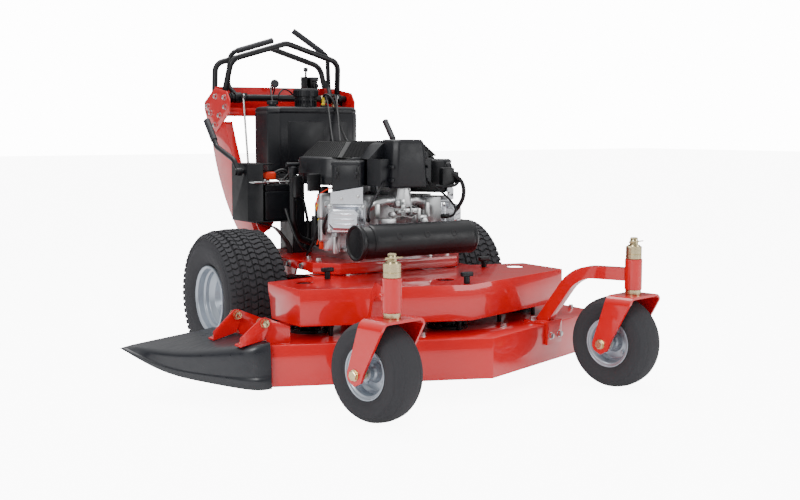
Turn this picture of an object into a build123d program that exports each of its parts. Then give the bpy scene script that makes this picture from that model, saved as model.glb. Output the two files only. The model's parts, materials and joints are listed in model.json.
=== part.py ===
from build123d import *
import os
from math import asin, atan2, cos, degrees, hypot, radians, sin

# Walk-behind rotary mower with a 48 inch side-discharge deck, built as an assembly.
# Millimetres, +Z up. The layout frame has its origin on the ground midway between the
# caster spindles, +Y towards the operator and +X towards the machine's left hand.
# export_parts moves every piece so that the origin is the centre of the ground footprint.

# Wheels
CASTER_R, CASTER_W, CASTER_TRAIL, CASTER_X = 140, 115, 59, 428
CASTER_BEAD_R, CASTER_AXLE_R, CASTER_TOE = 72, 9.9, 13.5
DRIVE_R, DRIVE_Y, DRIVE_IN, DRIVE_OUT, DRIVE_BEAD_R = 228.5, 984, 324, 540, 106
DRIVE_SHAFT_R = 12.5
RUN_FIT = 0.06                  # radial clearance of every shaft in its bore
# Cutter deck
DECK_HALF_W, DECK_V_Y, DECK_V_SLOPE, DECK_REAR_Y = 610, 127, 0.394, 742
DECK_BOTTOM, DECK_TOP, SHEET = 57, 177, 5
BLADE_R, BLADE_SIDE_X, BLADE_SIDE_Y, BLADE_MID_Y = 203, 395, 530, 365
BLADE_PULLEY_R, CRANK_PULLEY_R, TRACTION_PULLEY_R, UNIT_PULLEY_R = 52, 70, 58, 36
DECK_BELT_Z, TRACTION_BELT_Z = 238, 281
MOUTH_Y = (375, 700)
# Belt cover above the deck
COVER_HALF_W, COVER_V_Y, COVER_V_SLOPE, COVER_SIDE_Y = 490, 235, 0.347, 615
COVER_BOTTOM, COVER_TOP, COVER_SHEET = 215, 323, 3
KNOB_SPOTS = {"centre": (0, 262), "left": (300, 585), "right": (-300, 585)}
# Engine frame and engine
FRAME_TOP, FRAME_HALF_W, FRAME_FRONT_Y, FRAME_REAR_Y = 361, 285, 635, 1190
CRANK_Y, ENGINE_BASE, ENGINE_TOP = 820, 361, 600
CYLINDER_YAW, CYLINDER_OFFSET = 45, 18
HITCH = (1232, 8.5)              # y and radius of the sulky hitch hole
DIPSTICK = (-252, 908)
UNIT_X, UNIT_Y = 228, 945     # input shaft of each drive unit
# Controls
PIVOT_Y, PIVOT_Z, BAR_R, LEVER_X = 1450, 900, 11, 200
PLATE_X = 258                   # outer face of the uprights, inner face of the side plates
ROD_TOP, ROD_FOOT = (1408, 905), (1328, 345)
ARM_PIVOT = (1200, 335)
LEVER_PIVOT, THROTTLE_PIVOT = (1092, 640), (1492, 940)
CHUTE_HINGE_X, CHUTE_HINGE_Z = -617, 240
EARS = ((380, 191, 13), (566, 187.5, 18))     # front face y, height of its seat, fall of the seat


def box(x, y, z):
    """Block between two values on each axis."""
    centre = [(low + high) / 2 for low, high in (x, y, z)]
    return Pos(*centre) * Box(x[1] - x[0], y[1] - y[0], z[1] - z[0])


def bar_x(x, y, z, r):
    return Pos((x[0] + x[1]) / 2, y, z) * Rot(0, 90, 0) * Cylinder(r, x[1] - x[0])


def bar_y(x, y, z, r):
    return Pos(x, (y[0] + y[1]) / 2, z) * Rot(90, 0, 0) * Cylinder(r, y[1] - y[0])


def bar_z(x, y, z, r):
    return Pos(x, y, (z[0] + z[1]) / 2) * Cylinder(r, z[1] - z[0])


def outline(points):
    return make_face(Polyline(*points, close=True))


def prism_z(points, z):
    """Plate whose (x, y) outline is extruded between two heights."""
    return extrude(Pos(0, 0, z[0]) * outline(points), amount=z[1] - z[0])


def prism_x(points, x):
    """Plate whose (y, z) outline is extruded between two x values."""
    return extrude(Plane.YZ.offset(x[0]) * outline(points), amount=x[1] - x[0])


def prism_y(points, y):
    """Plate whose (x, z) outline is extruded between two y values."""
    return extrude(Plane.XZ.offset(-y[0]) * outline(points), amount=y[0] - y[1])


def tube(points, radii, r):
    """Round bar along straight runs joined by tangent arcs."""
    path = FilletPolyline(*points, radius=radii) if len(points) > 2 else Line(*points)
    return sweep(Plane(path @ 0, z_dir=path % 0) * Circle(r), path=path)


def turned_x(points, x=0, y=0, z=0):
    """Solid of revolution about a line along X, from an (x, r) profile of straight lines."""
    face = Plane.XZ * outline([(a, b) for a, b in points])
    return Pos(x, y, z) * revolve(face, Axis.X)


def mirrored(shape):
    return mirror(shape, Plane.YZ)


def group(*shapes):
    """Separate solids that share one node."""
    return Compound([solid for shape in shapes for solid in shape.solids()])


# ---------------------------------------------------------------- deck

def vee(half_w, tip_y, slope, side_y, inset=0.0):
    """Plan of a vee-fronted deck: tip, shoulders and rear corners, inset evenly."""
    along = inset * hypot(1, slope)
    w = half_w - inset
    front = tip_y + along
    return [(0, front), (w, front + slope * w), (w, side_y - inset), (-w, side_y - inset),
            (-w, front + slope * w)]


def deck_shell():
    plan = vee(DECK_HALF_W, DECK_V_Y, DECK_V_SLOPE, DECK_REAR_Y)
    inner = vee(DECK_HALF_W, DECK_V_Y, DECK_V_SLOPE, DECK_REAR_Y, SHEET)
    shell = prism_z(plan, (DECK_BOTTOM, DECK_TOP)) - prism_z(inner, (DECK_BOTTOM, DECK_TOP - SHEET))
    shell -= box((-DECK_HALF_W - 1, -DECK_HALF_W + SHEET + 1), MOUTH_Y, (DECK_BOTTOM, 160))
    for x, y in blade_centres().values():
        shell -= bar_z(x, y, (DECK_TOP - SHEET - 1, DECK_TOP + 1), 38)
    return shell


def blade_centres():
    return {"left": (BLADE_SIDE_X, BLADE_SIDE_Y), "centre": (0, BLADE_MID_Y),
            "right": (-BLADE_SIDE_X, BLADE_SIDE_Y)}


def spindle_housing(x, y):
    """Cast bearing housing: flange on the deck top, barrel through its hole, shaft bore."""
    body = bar_z(x, y, (DECK_TOP, DECK_TOP + 9), 62) + bar_z(x, y, (128, 222), 36)
    for turn in range(6):
        a = radians(60 * turn + 30)
        body += bar_z(x + 51 * cos(a), y + 51 * sin(a), (DECK_TOP + 9, DECK_TOP + 16), 8)
    return body - bar_z(x, y, (120, 230), 15 + RUN_FIT)


def vee_pulley(x, y, z, r):
    """Pulley of root radius r with a flange each side of a belt at height z."""
    body = bar_z(x, y, (z - 10, z + 10), r)
    for low in (z - 10, z + 6):
        body += bar_z(x, y, (low, low + 4), r + 10)
    return body


def blade_spindle(x, y, yaw):
    """Blade, shaft with its nut, and deck pulley that turn together."""
    shaft = bar_z(x, y, (84, 276), 15) + bar_z(x, y, (76, 84), 20)
    pulley = vee_pulley(x, y, DECK_BELT_Z, BLADE_PULLEY_R) - bar_z(x, y, (227, 249), 15)
    nut = extrude(Pos(x, y, 252) * RegularPolygon(21, 6), amount=14) - bar_z(x, y, (250, 268), 15)
    tip = BLADE_R - 3
    plan = [(-tip, -32), (-tip + 70, -32), (tip, -32), (tip, 18), (tip - 70, 32), (-tip, 32)]
    blade = Pos(x, y, 0) * Rot(0, 0, yaw) * prism_z(plan, (84, 90))
    sail = prism_x([(18, 90), (32, 90), (32, 108), (28, 108)], (tip - 68, tip - 4))
    sails = [Pos(x, y, 0) * Rot(0, 0, yaw + turn) * sail for turn in (0, 180)]
    disc = bar_z(x, y, (83, 91), BLADE_R)
    blade = (blade & disc) + sails[0] + sails[1] - bar_z(x, y, (80, 92), 15)
    collar = bar_z(x, y, (90, 126), 24) - bar_z(x, y, (89, 127), 15)
    return group(shaft, pulley, nut, blade, collar)


def belt_cover():
    plan = vee(COVER_HALF_W, COVER_V_Y, COVER_V_SLOPE, COVER_SIDE_Y)
    neck = [(COVER_HALF_W, COVER_SIDE_Y - 1), (300, 660), (300, 735), (-300, 735), (-300, 660),
            (-COVER_HALF_W, COVER_SIDE_Y - 1)]
    inner = vee(COVER_HALF_W, COVER_V_Y, COVER_V_SLOPE, COVER_SIDE_Y + 9, COVER_SHEET)
    body = prism_z(plan, (COVER_BOTTOM, COVER_TOP))
    body -= prism_z(inner, (COVER_BOTTOM, COVER_TOP - COVER_SHEET))
    body += prism_z(neck, (COVER_TOP - COVER_SHEET, COVER_TOP))
    cut = [(570, 200), (COVER_SIDE_Y + 1, 200), (COVER_SIDE_Y + 1, 300), (COVER_SIDE_Y - 12, 270),
           (COVER_SIDE_Y - 22, 215)]
    body -= prism_x(cut, (-COVER_HALF_W - 1, COVER_HALF_W + 1))
    for x, y in ((0, 379), (-401, 546), (401, 546)):
        body -= bar_z(x, y, (COVER_TOP - 5, COVER_TOP + 1), 30)
    for x, y in KNOB_SPOTS.values():
        body -= bar_z(x, y, (COVER_TOP - 5, COVER_TOP + 1), 5.5)
    return body


def cover_knob(x, y):
    """Tee knob on its stud: the stud runs through the cover with clearance."""
    stud = bar_z(x, y, (COVER_TOP - 28, COVER_TOP + 12), 5)
    boss = bar_z(x, y, (COVER_TOP + 0.4, COVER_TOP + 22), 9) - bar_z(x, y, (COVER_TOP, COVER_TOP + 12), 5)
    tee = fillet(box((x - 20, x + 20), (y - 8, y + 8), (COVER_TOP + 22, COVER_TOP + 36)).edges(), 3)
    return group(stud, boss + tee)


# ---------------------------------------------------------------- chute

def grid_shell(rows, thickness):
    """Thin closed shell of triangles over a grid of points, thickened along vertex normals."""
    grid = [[Vector(*p) for p in row] for row in rows]
    nr, nc = len(grid), len(grid[0])

    def normal(i, j):
        across = grid[i][min(j + 1, nc - 1)] - grid[i][max(j - 1, 0)]
        down = grid[min(i + 1, nr - 1)][j] - grid[max(i - 1, 0)][j]
        return across.cross(down).normalized()

    inner = [[grid[i][j] + normal(i, j) * thickness for j in range(nc)] for i in range(nr)]
    quads = []
    for i in range(nr - 1):
        for j in range(nc - 1):
            quads.append([grid[i][j], grid[i][j + 1], grid[i + 1][j + 1], grid[i + 1][j]])
            quads.append([inner[i][j], inner[i + 1][j], inner[i + 1][j + 1], inner[i][j + 1]])
    rim = [(0, j) for j in range(nc)] + [(i, nc - 1) for i in range(1, nr)]
    rim += [(nr - 1, j) for j in range(nc - 2, -1, -1)] + [(i, 0) for i in range(nr - 2, 0, -1)]
    for (i, j), (k, m) in zip(rim, rim[1:] + rim[:1]):
        quads.append([grid[i][j], inner[i][j], inner[k][m], grid[k][m]])
    faces = []
    for a, b, c, d in quads:
        faces += [Face(Wire.make_polygon(tri, close=True)) for tri in ((a, b, c), (a, c, d))]
    return Solid(Shell(faces))


def chute_deflector():
    """Moulded deflector: flat top from the hinge line, front wall and a lip that flares out."""
    x0 = -DECK_HALF_W - 3
    hinge = [(x0, 364, 189), (x0, 400, 189), (x0, 480, 187), (x0, 560, 184), (x0, 640, 181), (x0, 743, 178)]
    ridge = [(x0, 350, 188), (-660, 356, 185), (-705, 400, 174), (-760, 490, 157), (-815, 600, 141),
             (-868, 743, 150)]
    hem = [(x0, 342, 58), (-650, 342, 55), (-692, 400, 57), (-752, 520, 62), (-818, 650, 70),
           (-915, 743, 142)]
    return grid_shell([hinge, ridge, hem], -7)


def chute_ears():
    """Two angle brackets bolted on the deflector, each with a pivot hole."""
    ears = []
    x, z = CHUTE_HINGE_X, CHUTE_HINGE_Z
    for y, seat, fall in EARS:
        low = seat - fall
        plate = prism_y([(x - 74, low), (x - 3, seat), (x + 12, z - 16), (x + 14, z + 10), (x + 4, z + 16),
                         (x - 8, z + 15), (x - 74, low + 26)], (y, y + 5))
        foot = prism_y([(x - 76, low), (x - 3, seat), (x - 3, seat + 5), (x - 76, low + 5)], (y, y + 34))
        ear = plate + foot - bar_y(x, (y - 1, y + 6), z, 6.5 + RUN_FIT)
        for share in (0.25, 0.72):
            spot = low + (seat - low) * share
            ear += bar_z(x - 76 + 73 * share, y + 21, (spot + 2, spot + 12), 8)
        ears.append(ear)
    return group(*ears)


def chute_hinge_brackets():
    """Two bent plates on the deck, each carrying the pivot bolt of one ear."""
    made = []
    x, z = CHUTE_HINGE_X, CHUTE_HINGE_Z
    for y, seat, fall in EARS:
        web = prism_y([(x - 14, z - 12), (x - 4, z + 14), (x + 10, z + 14), (x + 85, z - 18),
                       (x + 85, DECK_TOP), (x + 16, DECK_TOP)], (y + 6, y + 12))
        foot = box((x + 12, x + 85), (y + 12, y + 46), (DECK_TOP, DECK_TOP + 6))
        bolt = bar_y(x, (y - 1.5, y + 22), z, 6.5) + bar_y(x, (y - 8, y - 1.5), z, 11)
        made.append(web + foot + bolt)
    return group(*made)


# ---------------------------------------------------------------- frames

def engine_frame():
    """Folded engine plate with side rails that reach down to the deck and the drive units."""
    w, front, rear, top = FRAME_HALF_W, FRAME_FRONT_Y, FRAME_REAR_Y, FRAME_TOP
    plan = [(-w + 60, front), (w - 60, front), (w, front + 75), (w, rear), (-w, rear), (-w, front + 75)]
    inner = [(-w + 63, front + 5), (w - 63, front + 5), (w - 5, front + 78), (w - 5, rear + 1),
             (-w + 5, rear + 1), (-w + 5, front + 78)]
    body = prism_z(plan, (COVER_TOP + 3, top)) - prism_z(inner, (COVER_TOP + 3, top - 6))
    body -= box((-w - 1, w + 1), (740, rear + 1), (COVER_TOP + 3, top - 30))
    body -= bar_z(0, CRANK_Y, (top - 7, top + 1), 75)
    for side in (-1, 1):
        x = (side * 150 - 4, side * 150 + 4)
        rail = prism_x([(762, 300), (762, top - 6), (rear, top - 6), (rear, 150), (1150, 150), (1080, 300)], x)
        leg = box(x, (650, 746), (DECK_TOP + 8, COVER_TOP - 8)) + box(x, (736, 762), (DECK_TOP + 8, top - 6))
        pad = box((side * 150 - 20, side * 150 + 20), (650, 738), (DECK_TOP, DECK_TOP + 8))
        body += rail + leg + pad
        handle_x = sorted((side * (PLATE_X - 32), side * (PLATE_X + 2)))
        body -= box(handle_x, (1104, rear + 1), (320, top + 1))
        body += box(sorted((side * PLATE_X, side * (w - 5))), (1116, 1176), (334, 352))
    body += box((-154, 154), (rear, rear + 6), (150, 250)) + box((-45, 45), (rear, HITCH[0] + 30), (196, 204))
    return body - bar_z(0, HITCH[0], (190, 210), HITCH[1])


def rear_frame():
    """Black carrier behind the engine: posts, tank tray, battery tray, guard, lever stubs."""
    top = 627
    tray = FRAME_TOP + 109
    body = box((-200, 200), (1008, 1014), (FRAME_TOP, 470)) + box((-190, 190), (1196, 1380), (top - 5, top))
    for side in (-1, 1):
        body += box((side * 180 - 20, side * 180 + 20), (1008, 1014), (FRAME_TOP, top - 5))
        body += prism_x([(1008, FRAME_TOP), (1188, FRAME_TOP), (1188, 600), (1380, top - 5), (1380, top),
                         (1008, top)], (side * 158 - 2.5, side * 158 + 2.5))
    body += box((-345, -158), (1014, 1190), (tray, tray + 4))
    guard_plan = [(-345, 1190), (-345, 1062), (-308, 1018), (-305, 1021), (-341, 1064), (-341, 1190)]
    body += prism_z(guard_plan, (tray, 668))
    body += prism_z([(-345, 1190), (-345, 1062), (-308, 1018), (-266, 1018), (-266, 1190)], (664, 668))
    body += box((-345, -158), (1186, 1190), (tray, 540)) + box((-345, -300), (1186, 1190), (tray, 668))
    body += box((158, 350), (1080, 1104), (628, 652))
    for side in (-1, 1):
        stub = bar_x((341, 376), *LEVER_PIVOT, 7) + bar_x((374, 380), *LEVER_PIVOT, 12)
        body += stub if side == 1 else mirrored(stub)
    return body


def battery():
    case = box((-296, -178), (1026, 1182), (474, 596))
    posts = bar_z(-275, 1050, (596, 614), 9) + bar_z(-200, 1050, (596, 614), 9)
    return case + posts


def caster_arm():
    """Left-hand caster arm, square to the deck front: sleeve, bent square tube, foot and bracket."""
    reach = (DECK_V_Y + DECK_V_SLOPE * CASTER_X) / hypot(1, DECK_V_SLOPE)
    path = FilletPolyline((0, 20, 350), (0, 188, 348), (0, 322, 158), radius=[120])
    arm = sweep(Plane(path @ 0, x_dir=(1, 0, 0), z_dir=path % 0) * Rectangle(38, 38), path=path)
    arm -= box((-40, 40), (250, 400), (100, DECK_TOP))
    arm += bar_z(0, 0, (306, 397), 26) + bar_x((20, 34), 0, 352, 4)
    arm += box((-46, 46), (reach - 9, reach + 75), (DECK_TOP, DECK_TOP + 8))
    arm += box((-46, 46), (reach - 9, reach - 1), (112, DECK_TOP + 8))
    for x in (-28, 28):
        arm += bar_y(x, (reach - 15, reach - 9), 140, 9)
    arm -= bar_z(0, 0, (300, 400), 12.7 + RUN_FIT)
    return Pos(CASTER_X, 0, 0) * Rot(0, 0, degrees(atan2(DECK_V_SLOPE, 1))) * arm


# ---------------------------------------------------------------- wheels

def tyre_profile(half_w, r, bead, wall, square):
    """Closed (x, r) section of a tyre; square is the tread width over the full width."""
    shoulder = half_w * square
    out = [(-half_w * 0.76, bead), (-half_w, (bead + r) / 2 + 2), (-shoulder, r - half_w * 0.10), (0, r)]
    inn = [(x * (half_w - wall) / half_w, q - wall * (q > bead)) for x, q in out]
    return out, inn


def tyre(half_w, r, bead, wall, square):
    """Hollow tyre about the X axis, open at the rim."""
    out, inn = tyre_profile(half_w, r, bead, wall, square)
    flip = [(-x, q) for x, q in out]
    flop = [(-x, q) for x, q in inn]
    edges = ThreePointArc(out[0], out[1], out[2]) + ThreePointArc(out[2], out[3], flip[2])
    edges += ThreePointArc(flip[2], flip[1], flip[0]) + Line(flip[0], flop[0])
    edges += ThreePointArc(flop[0], flop[1], flop[2]) + ThreePointArc(flop[2], inn[3], inn[2])
    edges += ThreePointArc(inn[2], inn[1], inn[0]) + Line(inn[0], out[0])
    return revolve(Plane.XZ * make_face(edges), Axis.X)


def caster_rim():
    """Two-sided pressed rim on a tube hub that runs on the axle."""
    r = CASTER_BEAD_R
    bore = CASTER_AXLE_R + RUN_FIT
    half = [(46, bore), (46, 19), (24, 24), (6, 34), (4, 52), (16, 62), (40, 63), (43, 67), (43, r + 3),
            (46.5, r + 3), (46.5, r + 1), (44.5, r - 2), (42, r)]
    other = [(-x, q) for x, q in reversed(half)]
    return turned_x(half + other)


def in_caster(shape, side):
    """Place a piece drawn about a caster spindle, turned by the toe of its rest pose."""
    return Pos(side * CASTER_X, 0, 0) * Rot(0, 0, CASTER_TOE) * shape


def on_caster_axle(shape, side):
    return in_caster(Pos(0, CASTER_TRAIL, CASTER_R) * shape, side)


def caster_fork():
    """Bent plate fork with raked legs; drawn with the spindle on the Z axis."""
    leg = prism_x([(-40, 290), (40, 290), (CASTER_TRAIL + 27.9, CASTER_R + 11),
                   (CASTER_TRAIL - 27.9, CASTER_R - 11)], (-82, 82))
    body = leg + bar_x((-82, 82), CASTER_TRAIL, CASTER_R, 30) + box((-82, 82), (-47, 47), (282, 290))
    body -= box((-74, 74), (-60, 100), (100, 282))
    body -= bar_x((-90, 90), CASTER_TRAIL, CASTER_R, CASTER_AXLE_R)
    return body - bar_z(0, 0, (280, 292), 12.7)


def caster_spindle():
    """Plated hardware of a fork: spindle pin, spacers, quick pin, axle bolt and bushings."""
    y, z = CASTER_TRAIL, CASTER_R
    pin = bar_z(0, 0, (282, 463), 12.7) - bar_x((-20, 20), 0, 449, 3)
    lower = bar_z(0, 0, (290, 305.6), 24) - bar_z(0, 0, (289, 307), 12.7)
    upper = bar_z(0, 0, (397.4, 436), 24) - bar_z(0, 0, (397, 437), 12.7)
    washer = bar_z(0, 0, (436, 440), 19) - bar_z(0, 0, (435, 441), 12.7)
    quick = bar_x((-24, 24), 0, 449, 3) + bar_x((24, 27), 0, 449, 7)
    bolt = bar_x((-88, 94), y, z, CASTER_AXLE_R) + bar_x((82, 92), y, z, 14) + bar_x((-92, -82), y, z, 14)
    bushes = [bar_x(span, y, z, 16) - bar_x(span, y, z, CASTER_AXLE_R) for span in ((46.4, 74), (-74, -46.4))]
    return group(pin, lower, upper, washer, quick, bolt, *bushes)


def drive_rim():
    """Left drive rim, hub and axle stub, with the dish facing outwards (+X)."""
    r, mid, out = DRIVE_BEAD_R, (DRIVE_IN + DRIVE_OUT) / 2, DRIVE_OUT
    at_hub = dict(y=DRIVE_Y, z=DRIVE_R)
    profile = [(mid - 95, r - 9), (mid - 95, r + 5), (mid - 89, r + 5), (mid - 89, r), (mid + 89, r),
               (mid + 89, r + 5), (mid + 95, r + 5), (mid + 95, r - 4), (out - 60, r - 12), (out - 66, 72),
               (out - 84, 66), (out - 84, DRIVE_SHAFT_R), (out - 90, DRIVE_SHAFT_R), (out - 90, 70),
               (out - 78, r - 9)]
    barrel = turned_x(profile, **at_hub)
    hub = turned_x([(out - 130, DRIVE_SHAFT_R), (out - 130, 30), (out - 96, 30), (out - 96, 62),
                    (out - 90, 62), (out - 90, DRIVE_SHAFT_R)], **at_hub)
    axle = bar_x((DRIVE_IN - 70, out - 66), DRIVE_Y, DRIVE_R, DRIVE_SHAFT_R)
    nut = turned_x([(out - 84, DRIVE_SHAFT_R), (out - 84, 24), (out - 70, 24), (out - 70, DRIVE_SHAFT_R)],
                   **at_hub)
    nuts = []
    for turn in range(4):
        a = radians(90 * turn + 45)
        nuts.append(bar_x((out - 84, out - 72), DRIVE_Y + 50 * cos(a), DRIVE_R + 50 * sin(a), 10))
    return group(barrel, hub, axle, nut, *nuts)


def drive_tyre():
    half_w = (DRIVE_OUT - DRIVE_IN) / 2
    centre = (DRIVE_OUT + DRIVE_IN) / 2
    return Pos(centre, DRIVE_Y, DRIVE_R) * tyre(half_w, DRIVE_R, DRIVE_BEAD_R, 12, 0.80)


# ---------------------------------------------------------------- engine

def on_bank(shape, side):
    """Place a piece drawn with its cylinder along -Y from the crank axis on one bank."""
    return Pos(0, CRANK_Y, 0) * Rot(0, 0, side * CYLINDER_YAW) * shape


def engine_block():
    """Crankcase with sump flange and two finned cylinders with their heads."""
    body = fillet(box((-120, 120), (700, 950), (ENGINE_BASE, 570)).edges().filter_by(Axis.Z), 40)
    body += box((-150, 150), (690, 970), (ENGINE_BASE, ENGINE_BASE + 24))
    body -= bar_z(0, CRANK_Y, (ENGINE_BASE - 1, 600), 25)
    for side in (-1, 1):
        barrel = box((-44, 44), (-190, -80), (475, 561))
        head = box((-58, 58), (-246, -190), (474, 562))
        for k in range(9):
            y = -128 - 7.5 * k
            barrel += box((-60, 60), (y - 1.5, y + 1.5), (468, 568))
        body += on_bank(Pos(side * CYLINDER_OFFSET, 0, 0) * (barrel + head), side)
    return body


def rocker_covers():
    covers = []
    for side in (-1, 1):
        rim = box((-62, 62), (-254, -246), (458, 546))
        dome = loft([Plane((0, -254, 502), x_dir=(1, 0, 0), z_dir=(0, -1, 0)) * Rectangle(112, 78),
                     Plane((0, -296, 502), x_dir=(1, 0, 0), z_dir=(0, -1, 0)) * Rectangle(92, 56)])
        covers.append(on_bank(Pos(side * CYLINDER_OFFSET, 0, 0) * (rim + dome), side))
    return group(*covers)


def blower_housing():
    """Fan shroud over the flywheel with a round air inlet and cowls over both cylinders."""
    plan = [(-150, 690), (150, 690), (222, 760), (222, 930), (160, 1004), (-160, 1004), (-222, 930), (-222, 760)]
    body = prism_z(plan, (604, 695))
    body -= bar_z(0, CRANK_Y, (603, 696), 122)
    for side in (-1, 1):
        body += cylinder_cowl(side) - bar_z(0, CRANK_Y, (560, 700), 122)
    floor = bar_z(0, CRANK_Y, (600, 608), 130) - bar_z(0, CRANK_Y, (599, 609), 60)
    return body + floor + fan_guard()


def fan_guard():
    """Open-topped guard with sloping walls round the turning screen."""
    guard = loft([Pos(0, 832, 694) * Rectangle(386, 262), Pos(0, 832, 745) * Rectangle(290, 236)])
    hollow = loft([Pos(0, 832, 693) * Rectangle(380, 256), Pos(0, 832, 742) * Rectangle(285, 231)])
    return guard - hollow - bar_z(0, CRANK_Y, (740, 746), 99)


def cylinder_cowl(side, gap=0.0):
    """Cowl over one cylinder head, joined to the fan shroud."""
    x = sorted((side * (66 + gap), -side * (30 + gap)))
    return on_bank(box(x, (-262 - gap, -124), (572 - gap, 686)), side)


def cut_beside(side, low, high):
    """Room for a cowl and its clearance between two heights."""
    return box(sorted((side * 68, -side * 32)), (-264, -100), (low, high))


def air_cleaner_cover():
    base = prism_z([(-160, 600), (160, 600), (150, 686), (-150, 686)], (604, 692))
    for side in (-1, 1):
        base -= cylinder_cowl(side, 1.5) + on_bank(cut_beside(side, 600, 700), side)
    tower = loft([Pos(0, 628, 600) * Rectangle(136, 120), Pos(0, 630, 752) * Rectangle(118, 104)])
    for side in (-1, 1):
        tower -= on_bank(cut_beside(side, 560, 690), side)
    return base + tower


def intake_manifold():
    """Cross tube between the heads with the carburettor under the air cleaner."""
    cross = bar_x((-112, 112), 636, 546, 14)
    carb = box((-26, 26), (612, 668), (532, 599.5)) + bar_z(0, 640, (508, 532), 20)
    return cross + carb


def muffler():
    """Canister across the front with its end ring, pressed guard and two exhaust pipes."""
    y, z = 500, 438
    can = fillet(bar_x((-240, 190), y, z, 50).edges(), 14)
    ring = bar_x((-252, -238), y, z, 56) - bar_x((-253, -244), y, z, 44)
    guard = bar_x((-205, 165), y, z, 56) - bar_x((-210, 170), y, z, 53)
    guard = guard & box((-210, 170), (430, 530), (446, 500))
    pipes = []
    for side in (-1, 1):
        pipes.append(tube([(side * 150, 668, 471), (side * 150, 660, 412), (side * 150, 540, 420)], [34], 15))
    return group(can + ring + pipes[0] + pipes[1], guard)


def oil_filter():
    body = fillet(bar_x((-215, -132), 768, 424, 34).edges(), 5)
    return body + bar_x((-132, -120), 768, 424, 18)


def starter_motor():
    """Vertical starter beside the crankcase with its nose under the flywheel."""
    can = fillet(bar_z(-166, 852, (395, 545), 30).edges(), 4)
    return can + bar_z(-166, 852, (545, 596), 17) + box((-140, -120), (836, 868), (500, 530))


def crank_assembly():
    """Crankshaft with the clutch and both pulleys below and the flywheel screen above."""
    shaft = bar_z(0, CRANK_Y, (205, 640), 20)
    pulleys = vee_pulley(0, CRANK_Y, DECK_BELT_Z, CRANK_PULLEY_R)
    pulleys += vee_pulley(0, CRANK_Y, TRACTION_BELT_Z, TRACTION_PULLEY_R)
    pulleys += bar_z(0, CRANK_Y, (210, 228), 72) + bar_z(0, CRANK_Y, (228, 300), 40)
    flywheel = bar_z(0, CRANK_Y, (612, 640), 112)
    screen = loft([Pos(0, CRANK_Y, 640) * Circle(112), Pos(0, CRANK_Y, 742) * Circle(96)])
    screen -= loft([Pos(0, CRANK_Y, 641) * Circle(108), Pos(0, CRANK_Y, 738) * Circle(92)])
    core = bar_z(0, CRANK_Y, (200, 650), 20)
    return group(shaft, pulleys - core, flywheel - core, screen)


def belt_loop(pulleys, z, section):
    """Belt along the outer tangents of pulleys (x, y, pitch radius) listed anticlockwise."""
    lines = []
    for (x0, y0, r0), (x1, y1, r1) in zip(pulleys, pulleys[1:] + pulleys[:1]):
        span = hypot(x1 - x0, y1 - y0)
        lean = atan2(y1 - y0, x1 - x0) + asin((r0 - r1) / span)
        nx, ny = sin(lean), -cos(lean)
        lines.append((nx, ny, nx * x0 + ny * y0 + r0))
    corners = []
    for (a, b, c), (d, e, f) in zip(lines[-1:] + lines[:-1], lines):
        det = a * e - b * d
        corners.append(((c * e - b * f) / det, (a * f - c * d) / det, z))
    path = FilletPolyline(*corners, radius=[r for x, y, r in pulleys], close=True)
    return sweep(Plane(path @ 0, z_dir=path % 0) * Rectangle(*section), path=path)


def drive_belts():
    """Deck belt round the four deck pulleys and traction belt to the two drive units."""
    slack = 5
    deck = [(BLADE_SIDE_X, BLADE_SIDE_Y, BLADE_PULLEY_R + slack), (0, CRANK_Y, CRANK_PULLEY_R + slack),
            (-BLADE_SIDE_X, BLADE_SIDE_Y, BLADE_PULLEY_R + slack), (0, BLADE_MID_Y, BLADE_PULLEY_R + slack)]
    traction = [(0, CRANK_Y, TRACTION_PULLEY_R + slack), (UNIT_X, UNIT_Y, UNIT_PULLEY_R + slack),
                (-UNIT_X, UNIT_Y, UNIT_PULLEY_R + slack)]
    return group(belt_loop(deck, DECK_BELT_Z, (9, 11)), belt_loop(traction, TRACTION_BELT_Z, (9, 11)))


def dipstick_tube():
    x, y = DIPSTICK
    route = [(-121, 936, 410), (-172, 934, 402), (-226, 922, 422), (x, y, 482), (x, y, 640)]
    return tube(route, [60, 45, 60], 11) - bar_z(x, y, (500, 641), 7)


def dipstick():
    x, y = DIPSTICK
    return bar_z(x, y, (502, 642), 4) + bar_z(x, y, (640.4, 662), 15) + bar_x((x - 24, x + 24), y, 668, 7)


# ---------------------------------------------------------------- controls

def transaxles():
    """Two hydrostatic drive units with their input pulleys and swash-arm stubs."""
    units = []
    for side in (-1, 1):
        case = fillet(box((160, 300), (900, 1110), (160, 262)).edges(), 12)
        case += bar_x((300, 312), DRIVE_Y, DRIVE_R, 42)
        case -= bar_x((200, 320), DRIVE_Y, DRIVE_R, DRIVE_SHAFT_R + RUN_FIT)
        case += bar_z(UNIT_X, UNIT_Y, (261, 272), 16) + vee_pulley(UNIT_X, UNIT_Y, TRACTION_BELT_Z, UNIT_PULLEY_R)
        case += box((176, 200), (1100, 1214), (236, 250)) + box((192, 196), (1180, 1214), (236, 348))
        case += bar_x((196, 216), *ARM_PIVOT, 8)
        units.append(case if side == 1 else mirrored(case))
    return group(*units)


def control_arm():
    """Left swash arm: turns about a stub on the drive unit, its end stands beside the rod."""
    y, z = ARM_PIVOT
    arm = prism_x([(y - 10, z - 12), (y - 10, z + 12), (1338, z + 20), (1338, z + 2)], (206, 212))
    arm += bar_x((200, 214), y, z, 14)
    return arm - bar_x((190, 220), y, z, 8 + RUN_FIT)


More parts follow.
